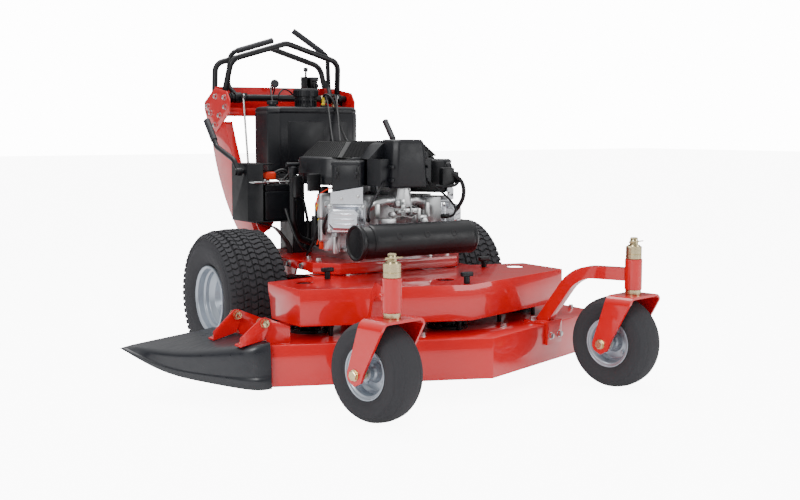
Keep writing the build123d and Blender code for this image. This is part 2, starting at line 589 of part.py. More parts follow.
def fuel_tank():
    w, c = 185, 34
    plan = [(-w + c, 1200), (w - c, 1200), (w, 1200 + c), (w, 1370 - c), (w - c, 1370), (-w + c, 1370),
            (-w, 1370 - c), (-w, 1200 + c)]
    body = prism_z(plan, (627, 865))
    body = fillet(body.edges().filter_by(Axis.Z, reverse=True).group_by(Axis.Z)[-1], 14)
    body += bar_z(-10, 1270, (864, 926), 38) + bar_z(-139, 1282, (864, 886), 20)
    return body


def fuel_cap():
    cap = fillet(bar_z(-10, 1270, (902, 932), 47).edges().group_by(Axis.Z)[-1], 6)
    return cap - bar_z(-10, 1270, (900, 926.6), 38.6)


def handle_upright():
    """Left upright: channel with its web outside, curved rear edge."""
    def edge_face(inset):
        rear = ThreePointArc((1574 - inset, 812), (1476 - inset, 574), (1190 - inset, 330))
        front = ThreePointArc((1112 + inset, 330), (1312 + inset, 585), (1436 + inset, 812))
        return make_face(rear + Line(rear @ 1, front @ 0) + front + Line(front @ 1, rear @ 0))
    web = extrude(Plane.YZ.offset(PLATE_X - 30) * edge_face(0), amount=30)
    hollow = extrude(Plane.YZ.offset(PLATE_X - 31) * edge_face(4), amount=27)
    body = web - hollow
    return body


def handle_side_plates():
    points = [(1509, 937), (1609, 886), (1609, 858), (1589, 823), (1506, 772), (1384, 847), (1382, 888),
              (1407, 922)]
    bolts = ((1500, 905), (1570, 870), (1420, 900), (1415, 865), (1545, 845), (1465, 835), (1510, 800))
    plates = []
    for side in (-1, 1):
        plate = prism_x(points, (PLATE_X, PLATE_X + 6))
        for y, z in bolts:
            plate += bar_x((PLATE_X + 6, PLATE_X + 13), y, z, 8)
        plates.append(plate if side == 1 else mirrored(plate))
    return group(*plates)


def console_panel():
    """Folded panel between the side plates: upright back, shelf and front lip."""
    x = (-PLATE_X, PLATE_X)
    body = box(x, (1520, 1523), (835, 942)) + box(x, (1414, 1523), (832, 835)) + box(x, (1414, 1417), (832, 862))
    return body


def handle_bars():
    """Pivot tube and the front and rear reference bars, all bolted between the plates."""
    cross = bar_x((-PLATE_X, PLATE_X), PIVOT_Y, PIVOT_Z, 13)
    loops = []
    for y0, y1, y2, foot, bend, top in ((1482, 1446, 1440, 905, 1040, 1105), (1566, 1592, 1580, 910, 1030, 1095)):
        route = [(-240, y0, foot), (-224, y1, bend), (0, y2, top), (224, y1, bend), (240, y0, foot)]
        loops.append(tube(route, [42, 60, 42], BAR_R))
        for side in (-1, 1):
            lug = box((side * 246 - 12, side * 246 + 12), (y0 - 11, y0 + 11), (foot - 30, foot + 4))
            loops[-1] += lug
    return group(cross, *loops)


def drive_lever(grip_end):
    """Left lever on the pivot tube, with a rod arm in front and a long inward grip."""
    x = LEVER_X
    bend = Vector(206, 1496, 1066)
    stem = [(x, PIVOT_Y + 14, PIVOT_Z + 8), (214, 1504, 948), tuple(bend), grip_end]
    body = bar_x((x - 14, x + 14), PIVOT_Y, PIVOT_Z, 20) + tube(stem, [40, 34], 9)
    body += prism_x([(1396, 894), (PIVOT_Y - 16, 892), (PIVOT_Y - 16, 912), (1396, 916)], (x - 14, x - 8))
    body -= bar_x((x - 20, x + 20), PIVOT_Y, PIVOT_Z, 13 + RUN_FIT)
    body -= bar_x((x - 15, x - 7), *ROD_TOP, 4 + RUN_FIT)
    along = Vector(*grip_end) - bend
    start, end = bend + along * 0.30, bend + along * 1.02
    grip = tube([tuple(start), tuple(end)], [], 13) - tube([tuple(start - along * 0.02), tuple(end)], [], 9)
    return group(body, grip)


def control_rod():
    """Left plated rod that hangs from the lever arm and ends beside the swash arm."""
    x = LEVER_X
    eye = bar_x((x - 7.6, x - 1), *ROD_TOP, 9)
    pin = bar_x((x - 15.5, x - 1), *ROD_TOP, 4)
    rod = tube([(x - 4, ROD_TOP[0] - 1, ROD_TOP[1] - 6), (x - 4, *ROD_FOOT)], [], 4)
    return eye + pin + rod


def side_lever(side):
    """Outboard hand lever with its grip, on a stub at its lower end."""
    y, z = LEVER_PIVOT
    blade = tube([(362, y, z), (368, y + 26, z + 40), (370, 1258, 724), (372, 1334, 812)], [30, 40], 9)
    blade += bar_x((354, 373), y, z, 14)
    blade -= bar_x((350, 374), y, z, 7 + RUN_FIT)
    grip = tube([(370.5, 1276, 745), (372, 1336, 814)], [], 13) - tube([(370.4, 1270, 738), (372, 1340, 819)], [], 9)
    body = group(blade, grip)
    return body if side == 1 else mirrored(body)


def control_bracket():
    """Bracket on the console with the throttle pivot and the switch housing."""
    body = box((100, 152), (1515, 1520), (880, 985)) + box((100, 103), (1470, 1518), (900, 985))
    body += box((122, 152), (1478, 1516), (925, 975)) + bar_y(137, (1466, 1479), 950, 12)
    return body + bar_x((102, 116), *THROTTLE_PIVOT, 5)


def throttle_lever():
    y, z = THROTTLE_PIVOT
    hub = bar_x((104, 112), y, z, 12) + box((105, 111), (y - 4, y + 4), (z + 8, z + 72))
    return hub + box((101, 115), (y - 9, y + 9), (z + 64, z + 80)) - bar_x((103, 113), y, z, 5 + RUN_FIT)


def control_cables():
    """Throttle and choke cables, arching from the console over the tank to the engine."""
    cables = []
    for x in (0, 40):
        route = [(140 + x, 1408, 868), (140 + x, 1404, 896), (104 + x, 1340, 916), (60 + x, 1240, 902),
                 (20 + x * 0.9, 1150, 852), (-25 + x * 0.8, 1050, 768), (-48 + x * 0.7, 994, 730),
                 (-50 + x * 0.7, 988, 699)]
        cables.append(tube(route, [12, 34, 60, 80, 80, 24], 3.2))
    return group(*cables)


# ---------------------------------------------------------------- assembly

def make_parts():
    parts = {
        "deck_shell": deck_shell(),
        "belt_cover": belt_cover(),
        "engine_frame": engine_frame(),
        "rear_frame": rear_frame(),
        "caster_arm_left": caster_arm(),
        "caster_arm_right": mirrored(caster_arm()),
        "spindle_housings": group(*[spindle_housing(x, y) for x, y in blade_centres().values()]),
        "engine_block": engine_block(),
        "rocker_covers": rocker_covers(),
        "blower_housing": blower_housing(),
        "air_cleaner_cover": air_cleaner_cover(),
        "intake_manifold": intake_manifold(),
        "muffler": muffler(),
        "oil_filter": oil_filter(),
        "starter_motor": starter_motor(),
        "crank_assembly": crank_assembly(),
        "drive_belts": drive_belts(),
        "dipstick_tube": dipstick_tube(),
        "dipstick": dipstick(),
        "transaxles": transaxles(),
        "fuel_tank": fuel_tank(),
        "fuel_cap": fuel_cap(),
        "battery": battery(),
        "handle_upright_left": handle_upright(),
        "handle_upright_right": mirrored(handle_upright()),
        "handle_side_plates": handle_side_plates(),
        "console_panel": console_panel(),
        "handle_bars": handle_bars(),
        "control_bracket": control_bracket(),
        "throttle_lever": throttle_lever(),
        "control_cables": control_cables(),
        "chute_hinge_brackets": chute_hinge_brackets(),
        "chute_deflector": chute_deflector(),
        "chute_ears": chute_ears(),
        "brake_lever": side_lever(-1),
        "blade_lever": side_lever(1),
    }
    for name, (x, y) in KNOB_SPOTS.items():
        parts["cover_knob_" + name] = cover_knob(x, y)
    for (name, (x, y)), yaw in zip(blade_centres().items(), (20, 90, -20)):
        parts["blade_spindle_" + name] = blade_spindle(x, y, yaw)
    for name, side in (("left", 1), ("right", -1)):
        parts["caster_fork_" + name] = in_caster(caster_fork(), side)
        parts["caster_spindle_" + name] = in_caster(caster_spindle(), side)
        parts["caster_rim_" + name] = on_caster_axle(caster_rim(), side)
        caster_tyre = tyre(CASTER_W / 2, CASTER_R, CASTER_BEAD_R, 9, 0.62)
        parts["caster_tyre_" + name] = on_caster_axle(caster_tyre, side)
        rim, rubber = drive_rim(), drive_tyre()
        parts["drive_rim_" + name] = rim if side == 1 else mirrored(rim)
        parts["drive_tyre_" + name] = rubber if side == 1 else mirrored(rubber)
        lever = drive_lever((75, 1530, 1160) if side == 1 else (30, 1500, 1118))
        for piece, shape in (("lever", lever), ("rod", control_rod()), ("arm", control_arm())):
            group_name = "drive_" if piece == "lever" else "control_"
            parts[group_name + piece + "_" + name] = shape if side == 1 else mirrored(shape)
    return parts


def export_parts(parts):
    """Write one STEP file per node about the centre of the ground footprint."""
    os.makedirs("parts", exist_ok=True)
    bounds = Compound([solid for part in parts.values() for solid in part.solids()]).bounding_box()
    shift = Pos(-(bounds.min.X + bounds.max.X) / 2, -(bounds.min.Y + bounds.max.Y) / 2, -bounds.min.Z)
    for name, part in parts.items():
        moved = shift * Compound(part.solids()) if len(part.solids()) > 1 else shift * part.solids()[0]
        moved.label = name
        export_step(moved, f"parts/{name}.step")
    print("origin shift", shift.position, "size", bounds.size)


export_parts(make_parts())
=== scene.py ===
"""Finished surfaces of a walk-behind mower, built round its fixed frame."""
import json
import math

import bmesh
import bpy
from mathutils import Matrix, Vector


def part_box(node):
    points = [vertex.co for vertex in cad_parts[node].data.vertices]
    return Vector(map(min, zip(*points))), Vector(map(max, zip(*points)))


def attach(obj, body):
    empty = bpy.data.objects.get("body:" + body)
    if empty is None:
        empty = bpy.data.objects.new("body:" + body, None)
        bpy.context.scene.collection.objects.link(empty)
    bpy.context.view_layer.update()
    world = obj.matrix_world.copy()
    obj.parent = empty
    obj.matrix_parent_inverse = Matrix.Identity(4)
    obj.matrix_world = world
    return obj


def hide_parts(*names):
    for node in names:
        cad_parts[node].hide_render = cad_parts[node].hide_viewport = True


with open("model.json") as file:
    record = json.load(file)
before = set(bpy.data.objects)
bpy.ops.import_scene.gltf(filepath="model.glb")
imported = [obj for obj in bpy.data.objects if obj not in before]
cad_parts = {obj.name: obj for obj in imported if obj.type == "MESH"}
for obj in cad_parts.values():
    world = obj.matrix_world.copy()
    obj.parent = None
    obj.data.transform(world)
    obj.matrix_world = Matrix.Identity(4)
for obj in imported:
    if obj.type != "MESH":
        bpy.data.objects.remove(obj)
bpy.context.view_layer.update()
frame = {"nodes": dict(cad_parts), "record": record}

bl_info = {
    "name": "Walk-behind mower finish",
    "version": (1, 0, 0),
    "blender": (4, 5, 0),
    "location": "View3D > Sidebar > Mower",
    "description": "Builds paint, tyres, engine and controls round the fixed frame of a mower",
    "category": "Object",
}

# Every piece is drawn in millimetres in the layout of the machine: the origin is on the
# ground midway between the caster spindles, +X is the machine's left and +Y its rear.
DECK_LOW, DECK_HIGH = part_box("deck_shell")
DECK_TIP_Y = 0.127
ORIGIN = Vector(((DECK_LOW.x + DECK_HIGH.x) / 2, DECK_LOW.y - DECK_TIP_Y, 0))
TO_FRAME = Matrix.Translation(ORIGIN) @ Matrix.Scale(0.001, 4)
BODY_OF = {n: b for b, group in frame["record"]["behaviour"]["bodies"].items() for n in group}

CASTER_X, CASTER_TOE, CASTER_TRAIL, CASTER_R, CASTER_HALF_W, CASTER_BEAD = 428, 13.5, 59, 140, 57.5, 72
DRIVE_X, DRIVE_Y, DRIVE_R, DRIVE_HALF_W, DRIVE_BEAD = 432, 984, 228.5, 108, 106
CRANK_Y = 820
CENTRE, ACROSS, UP, CRANK_FOOT = (0, 0, 0), (1, 0, 0), (0, 0, 1), (0, CRANK_Y, 0)
DECK_SLOPE = 0.394
CYLINDER_OFFSET, COVER_Z = 18, 502
SHROUD_RAYS, GUARD_Y = 96, 832
CHUTE_PIVOT_X, CHUTE_PIVOT_Z = -617, 240
MUFFLER = (0, 500, 438)
BAR_PIVOT = (0, 1450, 900)
TANK_X, TANK_Y, TANK_Z = 185, (1200, 1370), (627, 865)
CAP = Vector((-10, 1270, 902))
SIDES = {"left": 1, "right": -1}
BANK = {side: Matrix.Translation(CRANK_FOOT) @ Matrix.Rotation(math.radians(45 * side), 4, "Z")
        for side in (1, -1)}


# ---------------------------------------------------------------- settings

def linear(code):
    """Linear RGB of an sRGB hex code."""
    parts = [int(code[k:k + 2], 16) / 255 for k in (0, 2, 4)]
    return [c / 12.92 if c <= 0.04045 else ((c + 0.055) / 1.055) ** 2.4 for c in parts]


def colour(name, text, code):
    """Colour setting with its default given as a hex code."""
    return bpy.props.FloatVectorProperty(name=name, description=text, subtype="COLOR", size=3,
                                         min=0, max=1, default=linear(code))


class MowerColours(bpy.types.PropertyGroup):
    red: colour("Red paint", "Powder coat of the deck and frame", "C8000A")
    black: colour("Black paint", "Satin enamel of the tubes and brackets", "0D0E12")
    silver: colour("Wheel paint", "Silver enamel of the pressed rims", "A3ABB5")
    moulding: colour("Black moulding", "Glass-filled nylon of the engine covers", "0E1015")
    rubber: colour("Tyre rubber", "Carbon-black tyre compound", "111216")
    chute: colour("Chute", "Moulded rubber of the deflector", "191B21")


class MowerSizes(bpy.types.PropertyGroup):
    tread_rows: bpy.props.IntProperty(name="Tread rows", description="Rows of blocks across a drive tyre",
                                      default=8, min=4, max=12)
    tread_count: bpy.props.IntProperty(name="Tread blocks", description="Blocks round a drive tyre",
                                       default=62, min=30, max=90)
    tread_depth: bpy.props.FloatProperty(name="Tread depth", description="Height of a tread block",
                                         default=0.006, min=0.002, max=0.012, unit="LENGTH")
    edge: bpy.props.FloatProperty(name="Sheet edge", description="Rounding of folded and cut sheet edges",
                                  default=0.0013, min=0.0003, max=0.0015, unit="LENGTH")
    screen_bars: bpy.props.IntProperty(name="Screen bars", description="Upright bars round the fan screen",
                                       default=56, min=16, max=96)


# ---------------------------------------------------------------- nodes and materials

def node(tree, kind, inputs=None, **settings):
    """Add one node, set its properties, then fill its inputs with values, sockets or nodes."""
    made = tree.nodes.new(kind)
    for key, value in settings.items():
        setattr(made, key, value)
    for key, value in (inputs or {}).items():
        value = value.outputs[0] if isinstance(value, bpy.types.Node) else value
        if isinstance(value, bpy.types.NodeSocket):
            tree.links.new(value, made.inputs[key])
        else:
            made.inputs[key].default_value = value
    return made


def shader(name, base, **values):
    """New material: its tree, its shader and millimetre coordinates fixed to the piece."""
    made = bpy.data.materials.new(name)
    made.use_nodes = True
    tree = made.node_tree
    tree.nodes.clear()
    inputs = {"Base Color": (*base, 1)}
    inputs.update({key.replace("_", " ").title().replace("Ior", "IOR"): v for key, v in values.items()})
    body = node(tree, "ShaderNodeBsdfPrincipled", inputs)
    node(tree, "ShaderNodeOutputMaterial", {"Surface": body.outputs[0]})
    spot = node(tree, "ShaderNodeTexCoord").outputs["Object"]
    scaled = node(tree, "ShaderNodeVectorMath", {0: spot, "Scale": 1000.0}, operation="SCALE")
    return made, tree, body, scaled.outputs[0]


def noise(tree, spot, grain, detail=3.0):
    """Noise whose lumps are about one grain across, in millimetres."""
    return node(tree, "ShaderNodeTexNoise", {"Vector": spot, "Scale": 1 / grain,
                                             "Detail": detail}).outputs[0]


def texture(tree, body, spot, grain, depth, detail=3.0):
    """Bump of a grain size and depth, both in millimetres."""
    made = node(tree, "ShaderNodeBump", {"Height": noise(tree, spot, grain, detail), "Strength": 1.0,
                                         "Distance": depth * 0.001})
    tree.links.new(made.outputs[0], body.inputs["Normal"])


def patches(tree, body, spot, base, patch, spread):
    """Base colour that drifts lighter and darker over patches of a size in millimetres."""
    low, high = [[min(1, c * k) for c in base] for k in (1 - spread, 1 + spread)]
    mix = node(tree, "ShaderNodeMix", {"Factor": noise(tree, spot, patch), 6: (*low, 1), 7: (*high, 1)},
               data_type="RGBA")
    tree.links.new(mix.outputs[2], body.inputs["Base Color"])


def sheen_range(tree, body, spot, patch, low, high):
    """Roughness that varies over patches of a size in millimetres."""
    made = node(tree, "ShaderNodeMapRange", {"Value": noise(tree, spot, patch), "From Min": 0.3,
                                             "From Max": 0.7,
                                             "To Min": low, "To Max": high})
    tree.links.new(made.outputs[0], body.inputs["Roughness"])


def red_powder_coat():
    """Polyester powder coat: deep gloss over a faint orange peel."""
    base = bpy.context.scene.mower_colours.red
    made, tree, body, spot = shader("red_powder_coat", base, roughness=0.34, specular_ior_level=0.3,
                                    coat_weight=0.8, coat_roughness=0.04)
    patches(tree, body, spot, base, 160, 0.05)
    sheen_range(tree, body, spot, 60, 0.28, 0.38)
    # Orange peel has lumps of about 4 mm and is a few hundredths of a millimetre deep.
    texture(tree, body, spot, 5, 0.03, 1.0)
    return made


def black_satin_enamel():
    """Air-dried chassis black: satin, with a fine dry texture that breaks up reflections."""
    base = bpy.context.scene.mower_colours.black
    made, tree, body, spot = shader("black_satin_enamel", base, roughness=0.38, specular_ior_level=0.35)
    sheen_range(tree, body, spot, 40, 0.32, 0.46)
    texture(tree, body, spot, 1.2, 0.03)
    return made


def silver_wheel_enamel():
    """Silver enamel on pressed steel: metal flake under a thin clear coat."""
    base = bpy.context.scene.mower_colours.silver
    made, tree, body, spot = shader("silver_wheel_enamel", base, metallic=0.55, roughness=0.34,
                                    coat_weight=0.4, coat_roughness=0.12)
    patches(tree, body, spot, base, 50, 0.05)
    # Flakes are far finer than a millimetre; they are drawn at 0.8 mm so that they still glitter a little.
    texture(tree, body, spot, 0.8, 0.01, 1.0)
    return made


def nylon_moulding():
    """Glass-filled nylon: matt spark-eroded grain with a broad soft sheen."""
    base = bpy.context.scene.mower_colours.moulding
    made, tree, body, spot = shader("nylon_moulding", base, roughness=0.42, specular_ior_level=0.35)
    patches(tree, body, spot, base, 90, 0.10)
    sheen_range(tree, body, spot, 30, 0.36, 0.48)
    texture(tree, body, spot, 0.9, 0.05)
    return made


def rotomoulded_tank():
    """Rotomoulded polyethylene: waxy black skin with a low orange peel."""
    made, tree, body, spot = shader("rotomoulded_tank", linear("0A0C12"), roughness=0.40,
                                    specular_ior_level=0.35)
    sheen_range(tree, body, spot, 60, 0.34, 0.46)
    texture(tree, body, spot, 7, 0.12, 2.0)
    return made


def cast_aluminium():
    """Die-cast aluminium: light grey skin, dulled in patches, with a sandy grain."""
    base = linear("9DA1A8")
    made, tree, body, spot = shader("cast_aluminium", base, metallic=0.85, roughness=0.42)
    patches(tree, body, spot, base, 25, 0.14)
    sheen_range(tree, body, spot, 12, 0.34, 0.55)
    texture(tree, body, spot, 1.6, 0.12)
    return made


def bright_aluminium():
    """Wrought aluminium sheet and polished castings: bright, with a light rolling grain."""
    base = linear("D9DCE2")
    made, tree, body, spot = shader("bright_aluminium", base, metallic=0.85, roughness=0.26)
    patches(tree, body, spot, base, 30, 0.05)
    texture(tree, body, spot, 1.5, 0.03)
    return made


def yellow_zinc():
    """Chromated zinc plate: pale gold over grey steel, uneven from the bath."""
    base = linear("C9BA92")
    made, tree, body, spot = shader("yellow_zinc", base, metallic=1.0, roughness=0.28)
    patches(tree, body, spot, base, 9, 0.22)
    sheen_range(tree, body, spot, 6, 0.2, 0.36)
    return made


def bright_zinc():
    """Clear zinc plate on bolts and rods: cool grey and fairly bright."""
    base = linear("C6C8C8")
    made, tree, body, spot = shader("bright_zinc", base, metallic=1.0, roughness=0.3)
    patches(tree, body, spot, base, 8, 0.12)
    return made


def mill_steel():
    """Bare rolled steel with a thin film of oil: dark grey, streaked along the blades."""
    base = linear("6A6C70")
    made, tree, body, spot = shader("mill_steel", base, metallic=1.0, roughness=0.42)
    patches(tree, body, spot, base, 14, 0.25)
    texture(tree, body, spot, 2, 0.05)
    return made


def tyre_rubber():
    """Carbon-black tyre compound: dark grey, slightly dusty, with fine moulding grain."""
    base = bpy.context.scene.mower_colours.rubber
    made, tree, body, spot = shader("tyre_rubber", base, roughness=0.55, specular_ior_level=0.35)
    patches(tree, body, spot, base, 45, 0.18)
    sheen_range(tree, body, spot, 25, 0.46, 0.62)
    texture(tree, body, spot, 1.5, 0.08)
    return made


def hose_rubber():
    """Extruded hose, belt and cable jacket: black, smooth and a little shiny."""
    base = linear("0C0D10")
    made, tree, body, spot = shader("hose_rubber", base, roughness=0.42, specular_ior_level=0.35)
    patches(tree, body, spot, base, 20, 0.15)
    texture(tree, body, spot, 0.8, 0.03)
    return made


def chute_rubber():
    """Moulded rubber and polyolefin: slate black with a flowing sheen and small scuffs."""
    base = bpy.context.scene.mower_colours.chute
    made, tree, body, spot = shader("chute_rubber", base, roughness=0.36, specular_ior_level=0.5)
    patches(tree, body, spot, base, 120, 0.16)
    # Flow marks run out from the hinge: noise stretched ten times across the machine.
    flow = node(tree, "ShaderNodeMapping", {"Vector": spot, "Scale": (0.1, 1, 1)}).outputs[0]
    sheen_range(tree, body, flow, 18, 0.27, 0.44)
    texture(tree, body, spot, 3, 0.06)
    return made


def foam_grip():
    """Vinyl hand grip: dark grey and matt."""
    base = linear("17191F")
    made, tree, body, spot = shader("foam_grip", base, roughness=0.5)
    patches(tree, body, spot, base, 20, 0.12)
    texture(tree, body, spot, 1.2, 0.12)
    return made


def tinted(name, code):
    """Coloured vinyl or enamel of a small part: satin, with a faint drift in tone."""
    base = linear(code)
    made, tree, body, spot = shader(name, base, roughness=0.42, specular_ior_level=0.35)
    patches(tree, body, spot, base, 20, 0.08)
    texture(tree, body, spot, 1.0, 0.03)
    return made


def filter_enamel():
    """White baked enamel of the oil filter can."""
    return tinted("filter_enamel", "DDE0E4")


def terminal_vinyl():
    """Soft orange-red vinyl boot over the battery terminal."""
    return tinted("terminal_vinyl", "E2381F")


def yellow_vinyl():
    """Yellow vinyl of a sleeve and a wire."""
    return tinted("yellow_vinyl", "E9C81A")


def black_steel_and_painted_shade():
    """Shiny black steel of the fan screen, and painted shade in the dark openings."""
    return tinted("black_steel_and_painted_shade", "060709")


MAKERS = {maker.__name__: maker for maker in (
    red_powder_coat, black_satin_enamel, silver_wheel_enamel, nylon_moulding, rotomoulded_tank,
    cast_aluminium, bright_aluminium, yellow_zinc, bright_zinc, mill_steel, tyre_rubber, hose_rubber,
    chute_rubber, foam_grip, filter_enamel, terminal_vinyl, yellow_vinyl, black_steel_and_painted_shade)}


def finish_of(name):
    """The named material, made the first time it is asked for."""
    return bpy.data.materials.get(name) or MAKERS[name]()


# ---------------------------------------------------------------- mesh tools

def in_scene(name, data):
    """New object that shows some data."""
    made = bpy.data.objects.new(name, data)
    bpy.context.scene.collection.objects.link(made)
    return made


def baked(holder):
    """Mesh of an object with its modifiers applied; the object itself goes."""
    mesh = bpy.data.meshes.new_from_object(holder.evaluated_get(bpy.context.evaluated_depsgraph_get()))
    bpy.data.objects.remove(holder)
    return mesh


def coat(mesh, material):
    """Give a mesh one finish in place of any that it has."""
    mesh.materials.clear()
    mesh.materials.append(finish_of(material))


def turns(count):
    """Equal angles round a full turn."""
    return [math.tau * k / count for k in range(count)]


def heading(path, k):
    """Direction of a path at one of its points."""
    return (path[min(k + 1, len(path) - 1)] - path[max(k - 1, 0)]).normalized()


def skin(bm, rings, loop=False):
    """Quads over rings of points; a loop joins the last ring to the first, else both ends close."""
    rows = [[bm.verts.new(point) for point in ring] for ring in rings]
    count = len(rows[0])
    following = rows[1:] + rows[:1] if loop else rows[1:]
    for low, high in zip(rows, following):
        for k in range(count):
            bm.faces.new((low[k], low[(k + 1) % count], high[(k + 1) % count], high[k]))
    if not loop:
        bm.faces.new(rows[0][::-1])
        bm.faces.new(rows[-1])
    return [v for row in rows for v in row]


def ease(bm, verts, width, segments=2, angle=30, shortest=0.0):
    """Round the sharp edges between these vertices."""
    limit = math.radians(angle)
    edges = {e for v in verts for e in v.link_edges}
    sharp = [e for e in edges if len(e.link_faces) == 2 and e.calc_face_angle() > limit
             and e.calc_length() > shortest]
    bmesh.ops.bevel(bm, geom=sharp, offset=width, offset_type="OFFSET", segments=segments, profile=0.5,
                    affect="EDGES", clamp_overlap=True)


def rounded(points, radius, steps=5, closed=False):
    """Points of a line whose corners are arcs, each as large as its runs allow."""
    corners = [Vector(p) for p in points]
    made = []
    for k, p in enumerate(corners):
        if not closed and k in (0, len(corners) - 1):
            made.append(p)
            continue
        back, ahead = corners[k - 1] - p, corners[(k + 1) % len(corners)] - p
        half = back.angle(ahead) / 2
        if half > 1.56:
            made.append(p)
            continue
        cut = min(radius / math.tan(half), back.length * 0.48, ahead.length * 0.48)
        start, end = back.normalized() * cut, ahead.normalized() * cut
        middle = (start + end).normalized() * cut / math.cos(half)
        reach = (start - middle).length
        arc = [(start - middle).slerp(end - middle, s / steps) for s in range(steps + 1)]
        made += [p + middle + ray * reach for ray in arc]
    return made


def block(bm, x, y, z, edge=1.5, turn=None, segments=2):
    """Block between two values on each axis, with rounded edges."""
    spans = (x, y, z)
    centre = Matrix.Translation([(a + b) / 2 for a, b in spans])
    size = Matrix.Diagonal([b - a for a, b in spans] + [1])
    made = bmesh.ops.create_cube(bm, size=1, matrix=(turn or Matrix()) @ centre @ size)["verts"]
    if edge:
        ease(bm, made, edge, segments)


def prism(bm, outline, axis, span, edge=1.0, turn=None):
    """Outline in the plane across an axis, extruded between two values along it."""
    order = {"X": lambda a, b, s: (s, a, b), "Y": lambda a, b, s: (a, s, b), "Z": lambda a, b, s: (a, b, s)}
    rings = [[(turn or Matrix()) @ Vector(order[axis](a, b, s)) for a, b in outline] for s in span]
    made = skin(bm, rings)
    if edge:
        ease(bm, made, edge, shortest=2.5 * edge)


def circle(centre, along, r, sides):
    """Points of a circle about a direction."""
    up = along.orthogonal().normalized()
    across = along.cross(up)
    return [centre + up * (r * math.cos(t)) + across * (r * math.sin(t)) for t in turns(sides)]


def lathe(bm, profile, start, along, steps=48, loop=False, turn=None):
    """Revolve (distance, radius) pairs about a line; a loop closes the section on itself."""
    place = turn or Matrix()
    start, along = Vector(start), Vector(along).normalized()
    rings = [circle(start + along * a, along, max(r, 0.01), steps) for a, r in profile]
    return skin(bm, [[place @ p for p in ring] for ring in rings], loop)


def rod(bm, start, end, r, sides=20, edge=0.0, turn=None):
    """Round bar between two points, with its ends eased."""
    span = Vector(end) - Vector(start)
    e = edge
    ends = [(0, r - e), (e * 0.3, r - e * 0.3), (e, r)] if e else [(0, r)]
    profile = ends + [(span.length - a, b) for a, b in reversed(ends)]
    lathe(bm, profile, start, span, sides, turn=turn)


def hexagon(bm, start, along, across, height, turn=None):
    """Hexagon bolt head with a washer face and a chamfered top."""
    start, along = Vector(start), Vector(along).normalized()
    r = across / math.sqrt(3)
    lathe(bm, [(0, across * 0.62), (height * 0.2, across * 0.62)], start, along, 24, turn=turn)
    lathe(bm, [(height * 0.2, r), (height * 0.85, r), (height, r * 0.86)], start, along, 6, turn=turn)


def pipe(bm, points, r, radius=30, sides=16, turn=None):
    """Round bar along a line with arcs at its corners."""
    path = rounded(points, radius, 8)
    place, up, rings = turn or Matrix(), None, []
    for k, p in enumerate(path):
        ahead = heading(path, k)
        up = ahead.orthogonal() if up is None else up - ahead * up.dot(ahead)
        up.normalize()
        across = ahead.cross(up)
        rings.append([place @ (p + (up * math.cos(t) + across * math.sin(t)) * r) for t in turns(sides)])
    skin(bm, rings)


def cable(bm, points, r):
    """Flexible cable or wire on one smooth spline through the space between its points."""
    data = bpy.data.curves.new("cable", "CURVE")
    data.dimensions = "3D"
    data.bevel_depth, data.bevel_resolution, data.resolution_u, data.use_fill_caps = r, 3, 10, True
    spline = data.splines.new("NURBS")
    spline.points.add(len(points) - 1)
    for target, p in zip(spline.points, points):
        target.co = (*p, 1)
    spline.use_endpoint_u = True
    spline.order_u = 3
    bm.from_mesh(baked(in_scene("cable", data)))


def helix(bm, start, along, r, wire, coils, length):
    """Coil spring about a line."""
    start, along = Vector(start), Vector(along).normalized()
    up = along.orthogonal().normalized()
    across = along.cross(up)
    count = coils * 10
    points = []
    for k in range(count + 1):
        t = math.tau * coils * k / count
        points.append(start + along * (length * k / count) + (up * math.cos(t) + across * math.sin(t)) * r)
    pipe(bm, points, wire, 1, 6)


def piece(name, bm, like, material, replaces=(), angle=35):
    """Turn drawn millimetres into a finished piece on the body of a CAD node."""
    bmesh.ops.remove_doubles(bm, verts=bm.verts, dist=0.02)
    bmesh.ops.recalc_face_normals(bm, faces=bm.faces)
    bm.transform(TO_FRAME)
    for face in bm.faces:
        face.smooth = True
    mesh = bpy.data.meshes.new(name)
    bm.to_mesh(mesh)
    bm.free()
    return settle(name, mesh, like, material, replaces, angle)


def cover(bm, like, part, material, angle=35):
    """Piece that takes the place of one CAD node and carries its name."""
    return piece(f"{like}_{part}", bm, like, material, (like,), angle)


def settle(name, mesh, like, material, replaces=(), angle=35):
    """Put a finished mesh on the body of a CAD node, and hide the nodes that it replaces."""
    coat(mesh, material)
    mesh.set_sharp_from_angle(angle=math.radians(angle))
    made = in_scene(name, mesh)
    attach(made, BODY_OF[like])
    if replaces:
        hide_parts(*replaces)
    return made


def eased(node_name, material, width=None):
    """Copy of a CAD node with its corners merged and its long sharp edges rounded."""
    bm = bmesh.new()
    bm.from_mesh(frame["nodes"][node_name].data)
    bmesh.ops.remove_doubles(bm, verts=bm.verts, dist=2e-5)
    bmesh.ops.dissolve_limit(bm, angle_limit=math.radians(0.5), verts=bm.verts, edges=bm.edges)
    ease(bm, bm.verts, width or bpy.context.scene.mower_sizes.edge, 2, 40, 0.012)
    for face in bm.faces:
        face.smooth = True
    mesh = bpy.data.meshes.new(node_name)
    bm.to_mesh(mesh)
    bm.free()
    return settle(node_name + "_finish", mesh, node_name, material, (node_name,), 30)


def paint_node(node_name, material):
    """Give a CAD node that stays in view its material."""
    coat(frame["nodes"][node_name].data, material)


# ---------------------------------------------------------------- repeating shapes

def new_tree(name, inputs):
    """Geometry tree with one geometry input, named settings and one geometry output."""
    tree = bpy.data.node_groups.new(name, "GeometryNodeTree")
    tree.interface.new_socket("Geometry", in_out="INPUT", socket_type="NodeSocketGeometry")
    for label, kind in inputs:
        tree.interface.new_socket(label, in_out="INPUT", socket_type="NodeSocket" + kind)
    tree.interface.new_socket("Geometry", in_out="OUTPUT", socket_type="NodeSocketGeometry")
    return tree, node(tree, "NodeGroupInput").outputs


